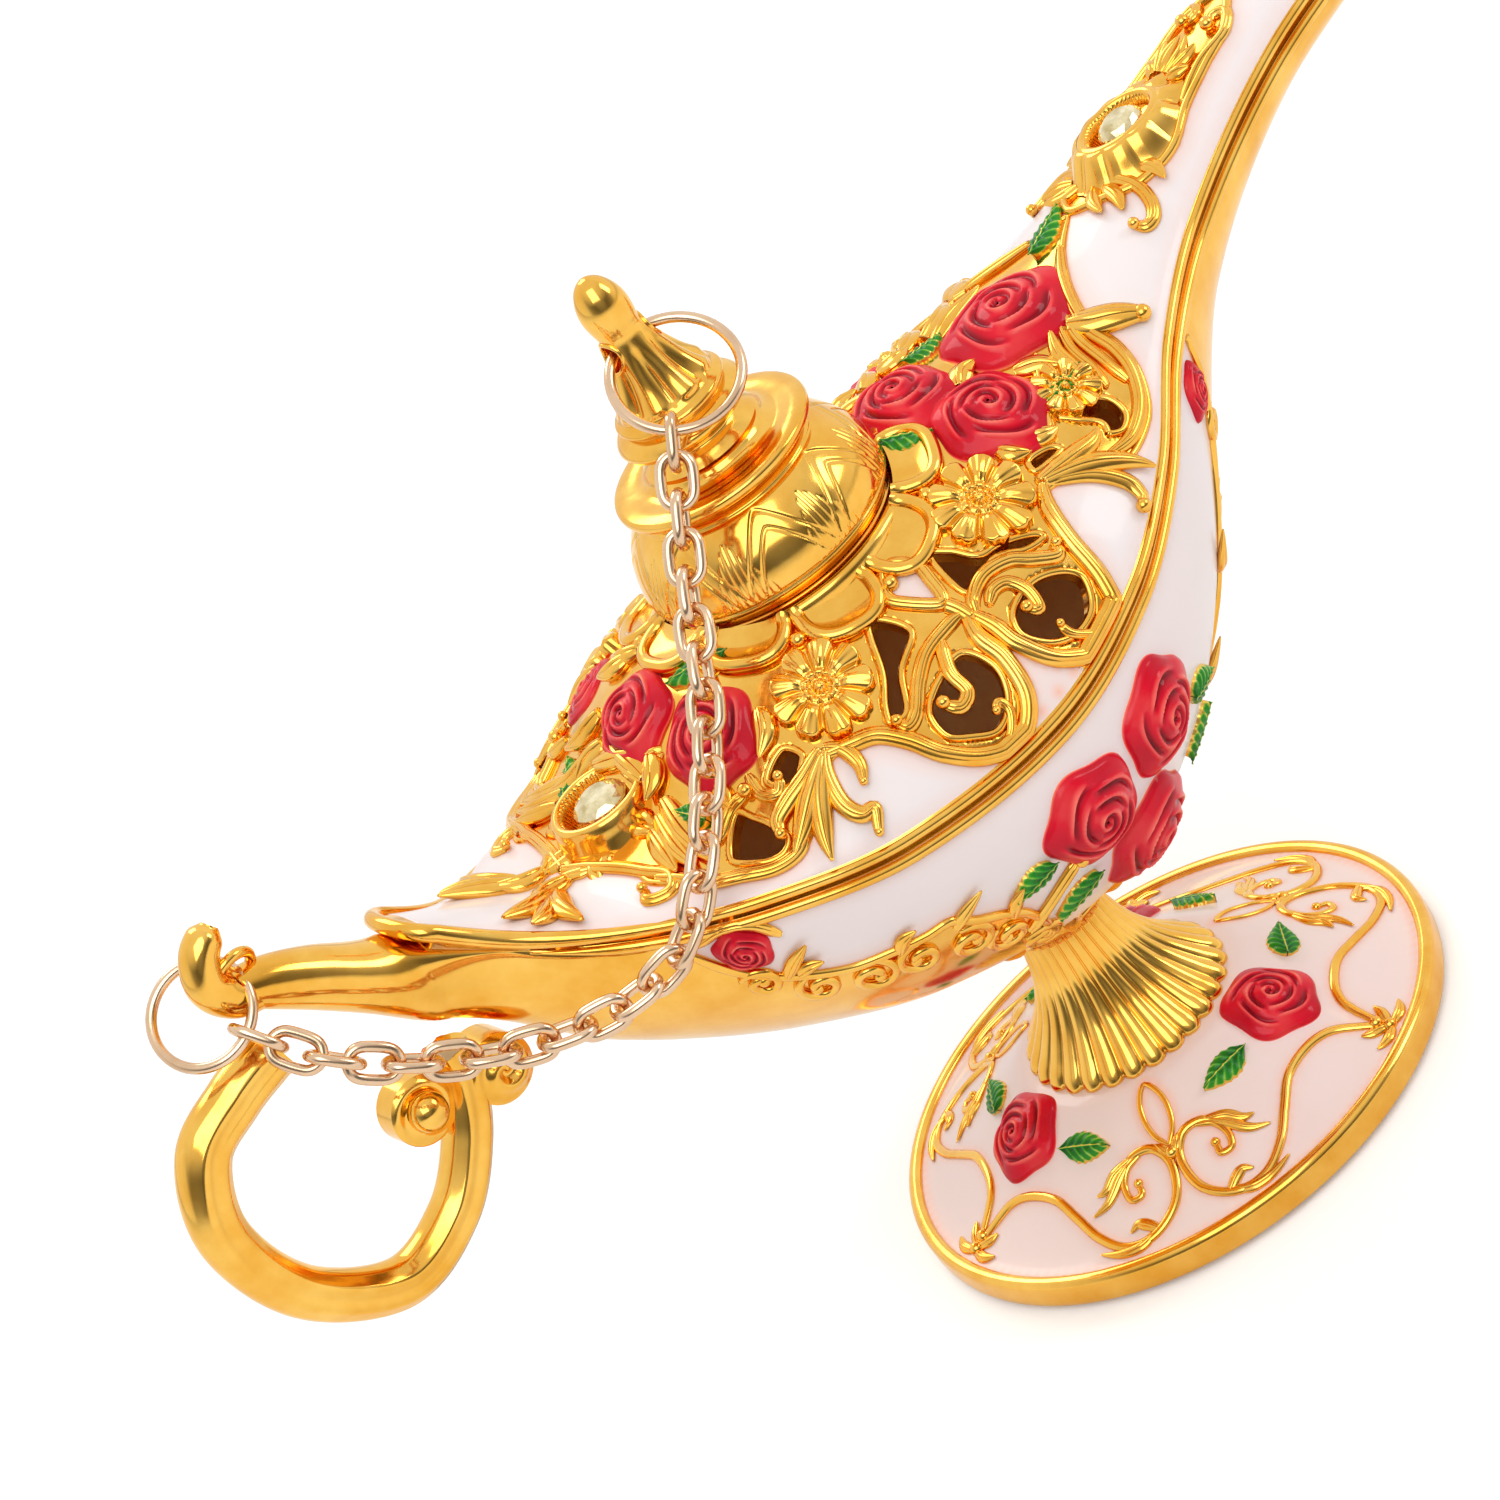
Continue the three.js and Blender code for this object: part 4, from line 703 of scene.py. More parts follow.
def make_cover():
    outlines, wires = [], Shape()
    enamel_edges = []
    for side in (-1, 1):
        for row in WINDOWS:
            outline = spline(mirrored(row, side), 56, True)
            outlines.append(outline)
            along = np.roll(outline, -1, 0) - np.roll(outline, 1, 0)
            inward = np.stack([-along[:, 1], along[:, 0]], -1) / np.linalg.norm(along, axis=1, keepdims=True)
            centre_side = ((outline.mean(0) - outline) * inward).sum() > 0
            edge = outline + 0.14 * inward * (1 if centre_side else -1)
            tube(wires, cover(*edge.T, -0.05), 0.26, 8, True)
            deep = np.linspace(0, -1.3, 6)[:, None]
            wires.add(cover(*edge.T, deep), ring_faces(6, 56))
        for edge in (TAIL_EDGE, SPOUT_EDGE):
            path = spline(mirrored(edge, side), 140)
            enamel_edges.append(path)
            tube(wires, cover(*path.T, 0.0), tapered(140, 0.26, 0.4, 0.4, 0.05), 8)
        almond = spline(mirrored(ALMOND, side), 44, True)
        gore = spline(mirrored(GORE, side), 60, True)
        enamel_edges += [almond, gore]
        band(wires, cover, mirrored(ALMOND, side), 0.46, 60, 0.15, closed=True)
        for points, half_width, knob in BANDS:
            band(wires, cover, mirrored(points, side), half_width, 80, 0.15, knob=knob)
        for points, half_width, knob in LOBES:
            lobe(wires, cover, mirrored(points, side), half_width, knob=knob)
        for x, y, size in DAISIES:
            daisy(wires, seat(cover, x, -y * side), size)
    for points in FAR_LOBES:
        lobe(wires, cover, points, 0.65)
    patch = np.array(GEM_PATCH)
    patch = spline(np.concatenate([patch, (patch[1:-1] * [1, -1])[::-1]]), 90, True)
    enamel_edges.append(patch)
    tube(wires, cover(*patch.T, 0.1), 0.34, 10, True)

    columns, rows = 400, 200
    x = np.linspace(-COVER_TAIL, SPOUT_REACH - 0.15, columns)
    share = np.cos(np.linspace(math.pi - 0.02, 0.02, rows))[:, None]
    y = share * station(x)[0]
    x = np.broadcast_to(x, y.shape)
    points = cover_at(x, y)
    faces = np.array(grid_faces(rows, columns))
    middle = points.reshape(-1, 3)[faces].mean(1)
    keep = np.hypot(middle[:, 0], middle[:, 1]) > MOUTH_RADIUS + 0.6
    for outline in outlines:
        keep &= ~inside(outline, *middle.T[:2])
    near = np.stack([middle[:, 0], -np.abs(middle[:, 1])], -1)
    field = np.concatenate([spline(TAIL_EDGE, 140), spline(SPOUT_EDGE, 140), [(29.4, 3), (-24.6, 3)]])
    gold = inside(field, *near.T[:2]) | inside(patch, *middle.T[:2])
    for hole in (ALMOND, GORE):
        gold &= ~inside(spline(hole, 60, True), *near.T[:2])
    lines = np.concatenate(enamel_edges)
    lines = np.concatenate([cover(*lines.T), cover_rim(0, 0.4)])
    tone = np.clip(nearest(points.reshape(-1, 3), lines[::2]) / 2.2, 0, 0.9)
    shell = Shape()
    shell.add(points, faces[keep], np.where(gold[keep], 1, 0), tone)
    solidify(shell.make("cover_shell", [PEARL, GOLD, GOLD, LINING, LINING], replaces=["cover"]))

    edge = cover_rim(-0.02, 0.6)
    tube(wires, edge, 0.36 + 0.22 * smooth_step((-25 - edge[:, 0]) / 7), 14)
    beam, rim = (float(v) for v in station(np.array(-COVER_TAIL))[:2])
    q = np.sin(np.linspace(-math.pi / 2, math.pi / 2, 24))
    s = np.linspace(0, 1, 8)[:, None]
    past = TAIL_NOSE * beam * np.sqrt(1 - q**2)
    top = cover_height(np.full(24, -COVER_TAIL), 0.999 * q * beam)
    nose = np.stack(np.broadcast_arrays(
        -COVER_TAIL - s * past, q * beam, (1 - s) * top + s * (rim + 0.8 + TAIL_SLOPE * past)), -1)
    wires.add(nose, grid_faces(8, 24))
    for x in (TAIL_CUP, SPOUT_CUP):
        make_cup(wires, x)
    make_spout_scrolls(wires)
    wires.make("cover_filigree", [GOLD])

    flowers = Shape()
    for k, (x, y, r, stretch) in enumerate(COVER_ROSES):
        rose(flowers, seat(cover, x, y), r, 0, k * 0.9, stretch, rise=0.2 if y > 0 else 0.38)
    for x, y, length, width, turn in COVER_LEAVES:
        leaf(flowers, seat(cover, x, y, turn), length, width, 1)
    flowers.make("cover_roses", [RED, GREEN])


def make_cup(shape, x):
    """A gem cup: a ring with a knurled wall inside, in a fluted mound on the spout or leaves at the tail."""
    stretch, radius = (1, 3.2) if x < 0 else (1.25, 2.5)
    top = float(cover_height(np.array(x), np.array(0.0))) + 1.3
    wall = spline([
        (radius + 0.9, top - 2.4), (radius + 0.5, top - 1.3), (radius + 0.3, top - 0.5),
        (radius + 0.1, top - 0.1), (radius - 0.2, top), (radius - 0.42, top - 0.2),
        (radius - 0.6, top - 0.7), (radius - 0.9, top - 1.6)], 50)
    wall = np.concatenate([wall, [(0.05, top - 1.75)]])
    knurl = np.clip((np.arange(len(wall)) - 33) / 3, 0, 1)[:, None]
    lathe(shape, wall, 240, ripple=lambda a, z: 1 + 0.02 * knurl * np.cos(48 * a))
    shape.points[-1] = shape.points[-1] * [stretch, 1, 1] + [x, 0, 0]
    if x > 0:
        a = turns(156)
        t = np.linspace(0, 1, 20)[:, None]
        reach = radius + 0.1 + 1.5 * (1 - t)
        mound = cover(x + stretch * reach * np.cos(a), reach * np.sin(a), 0.1)
        flutes = 0.5 * np.sin(math.pi * t) * (np.abs(np.cos(5.5 * a)) ** 0.6 - 0.7)
        mound[..., 2] += smooth_step(t) * (top - 0.1 - mound[..., 2]) + flutes
        shape.add(mound, ring_faces(20, 156))
        return
    for k in range(7):
        turn = TAU * k / 7 + 0.2
        reach = radius + 1.1
        px, py = x + stretch * reach * math.cos(turn), reach * math.sin(turn)
        place = seat(cover, px, py, math.degrees(turn))
        a = turns(32)
        r = np.linspace(0.04, 1, 10)[:, None]
        height = 0.75 * (1 - r**4) - 0.3 * np.exp(-((r * np.sin(a) / 0.2) ** 2)) - 0.25
        points = place(1.5 * r * np.cos(a), 1.15 * r * np.sin(a) * (1 - 0.3 * r * np.cos(a)), height)
        shape.add(points, ring_faces(10, 32))


def make_spout_scrolls(shape):
    """Leaf scrolls before and behind the spout's gem."""
    for side in (-1, 1):
        for points, half_width, knob in [
            ([(39, -2.9), (42, -2.3), (44.6, -2.4), (46, -1.6), (45.4, -0.8), (44.6, -1.2)], 0.45, 0.5),
            ([(47.4, -0.4), (49.4, -1.2), (51.2, -0.9), (52.4, 0)], 0.4, 0),
        ]:
            band(shape, cover, mirrored(points, side), half_width, 60, 0.15, knob=knob)
        for points in [
            [(31.6, -0.8), (30.5, -1.7), (29.9, -3)], [(31.8, -1.6), (31.4, -3), (30.6, -4.2)],
            [(34, -3), (34.3, -3.9), (33.9, -5)], [(40.6, -0.4), (42, -0.6), (43.4, -0.3)],
            [(40.6, -0.6), (42, -1.2), (43, -1.4)], [(40.4, -0.8), (41, -1.4), (41.4, -2)],
        ]:
            lobe(shape, cover, mirrored(points, side), 0.45)


# Bowl: places by x and by drop, the share of the way from the near rim to the keel.
BOWL_EDGE = [
    (-25.4, 0.06), (-23.6, 0.2), (-21.4, 0.27), (-18.6, 0.3), (-16, 0.28), (-14, 0.265), (-12.4, 0.25),
    (-11, 0.29),
    (-9, 0.33), (-7.4, 0.39), (-5.4, 0.56), (-3, 0.74), (1, 0.85), (5, 0.86), (9, 0.82), (13, 0.73),
    (17, 0.6),
    (20.6, 0.5), (23.4, 0.42), (25.6, 0.24), (26.6, 0.06),
]
BOWL_ROSES = [(6.4, 0.21, 3.9), (-1.3, 0.22, 4.0), (2.7, 0.46, 4.2), (-22.6, 0.12, 1.9), (24.6, 0.16, 1.8)]
BOWL_LEAVES = [
    (-6.6, 0.27, 3.8, 1.1, 159), (-3.8, 0.43, 4.6, 1.2, 142), (11.2, 0.36, 4, 1.2, 30),
    (10.4, 0.54, 4, 1.2, -30),
]
BOWL_BANDS = [
    ([(-7.6, 0.46), (-6.4, 0.4), (-5, 0.345), (-3.4, 0.3)], 0.5, 0.45),
    ([(-24.4, 0.06), (-23, 0.02), (-21.6, 0.03), (-20.6, 0.09)], 0.4, 0),
]
BOWL_LOBES = [
    [(-12.2, 0.28), (-11.4, 0.24), (-10, 0.19)], [(-21.4, 0.27), (-20.7, 0.2), (-19.8, 0.14)],
    [(-20.8, 0.27), (-20.2, 0.24), (-19.4, 0.22)], [(-15.6, 0.29), (-15.2, 0.24), (-14.4, 0.21)],
    [(14, 0.7), (14.6, 0.6), (16, 0.54)], [(19.4, 0.53), (19.2, 0.45), (20, 0.38)],
    [(-8.6, 0.35), (-8.2, 0.3), (-7.6, 0.26)],
]
# Spirals: place, radius, start angle and turning.
BOWL_SPIRALS = [
    (-22.6, 0.28, 1.3, 200, 460), (-20, 0.35, 1.5, 250, -460), (-17.3, 0.36, 1.7, 270, 470),
    (-14.6, 0.34, 1.6, 270, -460),
    (-11.6, 0.36, 1.7, 250, 470), (-9, 0.42, 1.6, 240, -460), (-6.6, 0.54, 1.7, 220, 470),
    (-4, 0.76, 1.7, 200, -460),
    (15.6, 0.72, 1.6, 250, 460), (19, 0.62, 1.6, 250, -460), (22.4, 0.53, 1.5, 270, 460),
    (25, 0.36, 1.2, 300, -440),
]


def smooth_step(t):
    t = np.clip(t, 0, 1)
    return t * t * (3 - 2 * t)


def spiral(shape, place, radius, start, turning, thick):
    """A scroll that winds in to a knob, on a seat."""
    t = np.linspace(0, 1, 60)
    angle = np.radians(start + turning * t)
    reach = radius * (1 - 0.76 * t)
    path = place(reach * np.cos(angle), reach * np.sin(angle), np.full(60, 0.12))
    tube(shape, path, tapered(60, thick, 0.3, 0.7), 10)
    ball(shape, path[-1], 1.3 * thick)


def make_bowl():
    columns, rows = 300, 170
    x = np.linspace(-BOWL_TAIL, SPOUT_REACH - 0.15, columns)
    drop = np.linspace(0.0, 2.0, rows)[:, None]
    x, drop = np.broadcast_arrays(x, drop)
    points = bowl_at(x, drop * math.pi / 2)
    faces = np.array(grid_faces(rows, columns))
    mid_x = x.reshape(-1)[faces].mean(1)
    mid_drop = drop.reshape(-1)[faces].mean(1)
    mid_drop = np.minimum(mid_drop, 2 - mid_drop)
    edge = spline(BOWL_EDGE, 240)
    field = np.concatenate([[(-25.6, -0.1)], edge, [(26.8, -0.1)]])
    pearl = inside(field, mid_x, mid_drop)
    rim = np.stack([edge[:, 0], 0 * edge[:, 0]], -1)
    lines = np.concatenate([bowl(*p.T) for p in (edge, rim)])
    lines = np.concatenate([lines, lines * [1, -1, 1]])
    # The bowl's enamel tone is held at 0.7 at most, so it never reaches the palest pearl and stays peach:
    # painted shade and a painted warm reflection of the gold.
    tone = 0.7 * np.clip(nearest(points.reshape(-1, 3), lines[::2]) / 1.8, 0, 1)
    shell = Shape()
    shell.add(points, faces[:, ::-1], np.where(pearl, 0, 1), tone)
    solidify(shell.make("bowl_shell", [PEARL, GOLD, GOLD, LINING, LINING], replaces=["bowl"]))

    wires = Shape()
    flowers = Shape()
    for far in (False, True):
        def surface(x, drop, lift=0.0):
            return bowl(x, 2 - np.asarray(drop), lift) if far else bowl(x, drop, lift)

        tube(wires, surface(*edge.T, 0.05), tapered(240, 0.34, 0.4, 0.4, 0.03), 10)
        for points, half_width, knob in BOWL_BANDS:
            band(wires, surface, points, half_width, 50, 0.15, knob=knob)
        for points in BOWL_LOBES:
            lobe(wires, surface, points, 0.4)
        for px, d, radius, start, turning in BOWL_SPIRALS:
            spiral(wires, seat(surface, px, d), radius, start, turning, 0.34)
        for k, (px, d, r) in enumerate(BOWL_ROSES):
            rose(flowers, seat(surface, px, d), r, 0, 0.7 * k)
        for px, d, length, width, turn in BOWL_LEAVES:
            leaf(flowers, seat(surface, px, d, turn), length, width, 1)
    along = np.linspace(SPOUT_REACH - 0.3, -BOWL_TAIL - 2, 170)
    beam, rim_z, _, _ = station(along)
    thick = 0.4 - 0.34 * smooth_step((-BOWL_TAIL + 2 - along) / 4)
    for side in (-1, 1):
        path = np.stack([along, side * (beam + 0.02), rim_z - SEAM / 2 - 0.42], -1)
        tube(wires, path, thick, 12)
    for k in range(10):
        turn = TAU * k / 10
        reach = np.linspace(4.2, 8.2, 14)
        path = keel_path(turn, reach)
        tube(wires, path, 0.9 * np.sin(math.pi * np.linspace(0.12, 0.95, 14)) ** 0.8 + 0.1, 10)
    make_tail(wires)
    wires.make("bowl_wires", [GOLD])
    flowers.make("bowl_roses", [RED, GREEN])


def keel_path(turn, reach):
    """Path up the outside of the bowl from the stem, seen from below along one direction."""
    x, y = reach * math.cos(turn), reach * math.sin(turn)
    beam, rim, depth, _ = station(x)
    z = rim - SEAM / 2 - depth * np.sqrt(np.clip(1 - (y / beam) ** 2, 0, 1)) - 0.1
    return np.stack([x, y, z], -1)


def make_tail(shape):
    """The bar behind the bowl, from the bowl's own section to a round one, with the hook at its end."""
    rim_tail = float(station(np.array(-COVER_TAIL))[1])
    rows = np.array([
        [-COVER_TAIL + 1.6, rim_tail - 4.6, 4.0, 3.3],
        [-COVER_TAIL - 2, rim_tail - 2.3, 3.8, 2.95],
        [HOOK[0] + 4.5, HOOK[2] - 5.3, 3, 2.35],
        [HOOK[0] + 1.5, HOOK[2] - 2.5, 2.3, 1.85],
        [HOOK[0] - 0.3, HOOK[2] - 1.3, 1.6, 1.5],
    ])
    x = np.linspace(-BOWL_TAIL + 6, HOOK[0] - 0.3, 110)
    bar = np.stack([np.interp(x, rows[::-1, 0], rows[::-1, k]) for k in (1, 2, 3)], -1)
    for _ in range(60):
        bar[1:-1] = (bar[:-2] + 2 * bar[1:-1] + bar[2:]) / 4
    beam, rim, depth, _ = station(np.maximum(x, -TAIL_REACH))
    mix = smooth_step((-0.3 - BOWL_TAIL - x) / 10.5)[:, None]
    turn = turns(48)
    low = np.sin(turn) < 0
    swell = 0.997 + 0.008 * smooth_step((5.5 - BOWL_TAIL - x) / 5)[:, None]
    hull_y = swell * beam[:, None] * np.cos(turn)
    hull_z = rim[:, None] - SEAM / 2 + np.where(low, swell * depth[:, None] * np.sin(turn), -0.2)
    bar_y = bar[:, 2:3] * np.cos(turn)
    bar_z = bar[:, :1] + bar[:, 1:2] * np.sin(turn)
    points = np.stack([np.broadcast_to(x[:, None], hull_y.shape), hull_y * (1 - mix) + bar_y * mix,
                       hull_z * (1 - mix) + bar_z * mix], -1)
    faces = ring_faces(len(x), 48)
    faces.append(tuple(range(len(x) * 48 - 48, len(x) * 48))[::-1])
    shape.add(points, flipped(faces))
    curl = spline([(0.9, -2), (-0.9, -1.1), (-1.7, 0.6), (-0.9, 2.4), (0.8, 3.3)], 40)
    t = np.linspace(0, 1, 40)
    path = HOOK + np.stack([curl[:, 0], 0 * t, curl[:, 1]], -1)
    radius = (1.4 - 0.35 * t**3) * np.sqrt(np.clip((1.03 - t) / 0.12, 0, 1))
    tube(shape, path, np.maximum(radius, 0.1), 20, up=(0, 1, 0), flat=1.08)
    eye = turns(28)
    tilt = np.array([[1, 0, 0], [0, 0.57, -0.82]])
    ring = HOOK + 1.5 * (np.cos(eye)[:, None] * tilt[0] + np.sin(eye)[:, None] * tilt[1])
    tube(shape, ring, 0.36, 10, True)


# Mouth collar, lid and finial
def make_collar():
    """A ring round the mouth with raised arches that lie on the cover."""
    shape = Shape()
    ring = spline([(MOUTH_RADIUS, COLLAR_TOP - 4.2), (MOUTH_RADIUS, COLLAR_TOP - 0.3),
                   (8.3, COLLAR_TOP - 0.05), (8.8, COLLAR_TOP - 0.1),
                   (9.1, COLLAR_TOP - 0.5), (9.2, COLLAR_TOP - 1.6), (9.2, COLLAR_TOP - 4)], 60)
    lathe(shape, ring, 160)
    share = np.linspace(-1, 1, 61)
    for k in range(PETALS):
        middle = TAU * k / PETALS
        angle = middle + share * 0.86 * math.pi / PETALS
        radius = 8.6 + 2.8 * (1 - np.abs(share) ** 3) ** 0.5
        x, y = radius * np.cos(angle), radius * np.sin(angle)
        base = cover(x, y, 0.35)
        tube(shape, base, 0.5, 12, up=cover(x, y, 1.35) - base, flat=0.9)
        inner = np.linspace(0, 1, 12)[:, None]
        plate = 8.7 + (radius - 8.7) * inner
        hollow = 0.5 - 0.35 * np.sin(math.pi * inner) * (1 - share**2)
        shape.add(cover(plate * np.cos(angle), plate * np.sin(angle), hollow),
                  flipped(grid_faces(12, 61)))
        tip = middle + math.pi / PETALS
        bead = cover(np.array([10.6 * math.cos(tip)]), np.array([10.6 * math.sin(tip)]), 0.2)[0]
        ball(shape, bead, 0.55, segments=14)
    shape.make("mouth_petals", [GOLD])


LID_BASE = COLLAR_TOP + SEAM


def make_lid():
    shape = Shape()
    dome = spline([
        (8.3, LID_BASE), (8.74, LID_BASE + 0.9), (8.7, LID_BASE + 2), (8.25, LID_BASE + 3.5),
        (7.3, LID_BASE + 5),
        (6.2, LID_BASE + 6.1), (5.6, LID_BASE + 6.5)], 100)
    turn = turns(720)
    share = ((dome[:, 1] - LID_BASE) / 6.5)[:, None]
    across = np.abs(((turn * 8 / TAU) % 1) - 0.5) * 2
    between = 1 - across
    groove = np.exp(-(((share - 0.14) / 0.016) ** 2)) + np.exp(-(((share - 0.9) / 0.014) ** 2))
    for peak, width in [(0.86, 1.0), (0.7, 0.72)]:
        petal = 0.14 + (peak - 0.14) * np.clip(1 - (across / width) ** 1.5, 0, 1) ** 0.8
        groove = groove + np.exp(-(((share - petal) / 0.02) ** 2)) * (across < width)
    fan = 0.14 + 0.62 * np.clip(1 - (between / 0.62) ** 1.6, 0, 1)
    hatch = np.clip(2 * np.abs(np.cos(turn * 60)) - 1, 0, 1) * (share < fan) * (share > 0.17)
    radius = dome[:, :1] - 0.13 * np.minimum(groove + 0.5 * hatch, 1)
    points = np.stack(np.broadcast_arrays(radius * np.cos(turn), radius * np.sin(turn), dome[:, 1:]), -1)
    shape.add(points, ring_faces(100, 720))
    top = LID_BASE + 6.6
    flange = spline([(5.6, top - 0.1), (6.4, top), (6.9, top + 0.25), (7.04, top + 0.6),
                     (6.85, top + 0.95), (6.1, top + 1.08),
                     (5.0, top + 1.05), (4.4, top + 1.3), (4.1, top + 1.7)], 50)
    lathe(shape, np.concatenate([flange, [(0.05, top + 1.7)]]), 128)
    lathe(shape, [(8.3, LID_BASE), (7.6, LID_BASE - 0.02), (7.6, LID_BASE - 2.9),
                  (7.4, LID_BASE - 3.2), (6.3, LID_BASE - 3.2),
                  (6.1, LID_BASE - 3), (6.1, LID_BASE + 1), (4.04, LID_BASE + 5.1),
                  (0.05, LID_BASE + 5.1)][::-1], 96)
    shape.make("lid_dome", [GOLD], "lid_body", replaces=["lid"])


def make_finial():
    shape = Shape()
    base = LID_BASE + 6.6 + 1.1 + 0.6 + SEAM
    rows = [
        (4.1, 0), (3.6, 0.5), (3.25, 1.0), (3.7, 1.35), (4.3, 1.6), (4.6, 2.1), (4.3, 2.6), (3.75, 2.9),
        (3.6, 3.0),
        (3.9, 3.3), (3.85, 3.6), (3.5, 3.85), (3.2, 4.3), (2.65, 5.2), (2.2, 6.2), (1.85, 7.3),
        (1.65, 8.2), (1.5, 8.9),
        (1.52, 9.3), (1.62, 9.9), (1.68, 10.6), (1.6, 11.3), (1.36, 12), (0.95, 12.65), (0.42, 13.05),
        (0.02, 13.15)]
    profile = spline(rows, 170)
    turn = turns(144)
    height = profile[:, 1:]
    flute = smooth_step((height - 3.9) / 0.6) * smooth_step((8.8 - height) / 2.6)
    radius = np.maximum(profile[:, :1] * (1 + 0.1 * flute * (2 * np.abs(np.cos(4 * turn)) - 1)), 0.02)
    points = np.stack(np.broadcast_arrays(radius * np.cos(turn), radius * np.sin(turn), base + height), -1)
    faces = np.array(ring_faces(170, 144))
    eye = np.array([0, 0, base + 8])
    middle = points.reshape(-1, 3)[faces].mean(1) - eye
    keep = np.hypot(middle[:, 1], middle[:, 2]) > 0.98
    shape.add(points, faces[keep])
    a = turns(40)
    at_eye = np.interp(8 + np.sin(a), profile[:, 1], profile[:, 0])
    half = np.sqrt(np.maximum(at_eye**2 - np.cos(a) ** 2, 0.3))
    across = np.linspace(-1, 1, 9)[:, None] * half
    bore = np.stack(np.broadcast_arrays(across, np.cos(a), np.sin(a)), -1) + eye
    shape.add(bore, flipped(ring_faces(9, 40)))
    for side in (-1, 1):
        lip = np.stack([side * half, 1.03 * np.cos(a), 1.03 * np.sin(a)], -1) + eye
        tube(shape, lip, 0.16, 8, True)
    lathe(shape, [(0.05, base), (4.1, base)], 128)
    shape.make("finial_spire", [GOLD], "lid_body", replaces=["finial"])


# Foot and stem
FOOT_TURN = -66
# Half of one third of the foot's wires: radius and angle from a rose, half width and end knob.
FOOT_WIRES = [
    ([(18, 0), (16.5, 1.4), (14.7, 5), (13.9, 12), (14, 21.5), (15.2, 29.5), (16.6, 36), (17.7, 43),
      (17.6, 49.5),
      (16.3, 55.6), (14.8, 58.2), (13.3, 58.2), (12.3, 54.5), (12.25, 48.5), (12.9, 44)], 0.34, 0),
    ([(12.35, 50), (12.9, 45.6), (13.9, 44), (14.8, 45.4), (14.75, 48.4), (14, 48.2)], 0.26, 0.34),
    ([(12.6, 60), (11.7, 56.8), (10.7, 55.2), (9.7, 55.2), (8.9, 57.2), (8.4, 60)], 0.2, 0),
]
FOOT_LOBES = [
    [(12.6, 46), (13.4, 42.5), (14.6, 39), (15.3, 34.6)],
    [(12.4, 47), (13, 41.5), (13.8, 38.6), (14.1, 35.6)],
    [(17.4, 50), (18, 46.5), (18.1, 42), (17.8, 37)],
    [(17.3, 51.5), (16.7, 48.6), (16.5, 46.4), (16.9, 44.4)],
    [(18.2, 0.5), (18.3, 4), (18, 7)], [(17.8, 0.5), (17.2, 3), (16.6, 4.6)],
    [(13.4, 59.4), (12.7, 57.6), (12.2, 56)],
]


def foot_polar(radius, turn, lift=0.0):
    angle = np.radians(turn)
    return foot(radius * np.cos(angle), radius * np.sin(angle), lift)


def make_foot():
    shape = Shape()
    radius = np.linspace(6.5, 19.1, 64)
    turn = turns(288)
    points = np.stack(np.broadcast_arrays(radius[:, None] * np.cos(turn), radius[:, None] * np.sin(turn),
                                          foot_height(radius)[:, None]), -1)
    wires, lines = Shape(), []
    for k in range(3):
        middle = FOOT_TURN + 120 * k
        for mirror in (1, -1):
            for row, half_width, knob in FOOT_WIRES:
                polar = spline(row, 80)
                line = foot_polar(polar[:, 0], middle + mirror * polar[:, 1], 0.05)
                lines.append(line)
                out = foot_polar(polar[:, 0], middle + mirror * polar[:, 1], 1.05) - line
                tube(wires, line, tapered(80, half_width, 0.5, 0.5), 10, up=out, flat=0.7)
                if knob:
                    ball(wires, line[-1], knob, segments=12)
            for row in FOOT_LOBES:
                lobe(wires, foot_polar, [(r, middle + mirror * a) for r, a in row], 0.3, 0.05, 0.1)
        for reach, wide in [(18, 0), (17.1, 0), (13.1, 60)]:
            ball(wires, foot_polar(np.array([reach]), np.array([middle + wide]), 0.05)[0], 0.5, segments=14)
    lines.append(np.stack([19 * np.cos(turn), 19 * np.sin(turn), np.full(288, foot_height(19.0))], -1))
    tone = 0.42 * np.clip(nearest(points.reshape(-1, 3), np.concatenate(lines)[::2]) / 1.2, 0, 1)
    shape.add(points, ring_faces(64, 288), 0, tone)
    rim = spline([(18.9, 1.8), (19, 2.1), (19.3, 2.25), (19.7, 2.2), (19.93, 1.95), (20, 1.6), (20, 0.9),
                  (19.98, 0.5), (19.85, 0.15),
                  (19.5, 0.0)], 44)
    under = [(17.4, 0.0), (17.1, 0.5), (16.2, 0.8), (13.6, 2.2), (11, 3.9), (8.4, 5.4), (1.8, 5.5)]
    lathe(shape, np.concatenate([rim, under]), 192, 1)
    shape.make("foot_plate", [PEARL, GOLD], slot="enamel", replaces=["foot"])
    wires.make("foot_wires", [GOLD])
    flowers = Shape()
    for k in range(3):
        middle = math.radians(FOOT_TURN + 120 * k)
        rose(flowers, seat(foot, 10.7 * math.cos(middle), 10.7 * math.sin(middle)), 3.3, 0, k)
        for reach, wide, lean in [(10.8, -31, -90), (11, 31, 90)]:
            a = middle + math.radians(wide)
            turn_to = math.degrees(a) + lean
            leaf(flowers, seat(foot, reach * math.cos(a), reach * math.sin(a), turn_to), 4, 1.15, 1)
    flowers.make("foot_roses", [RED, GREEN], slot="enamel")


STEM_RIBS = 28


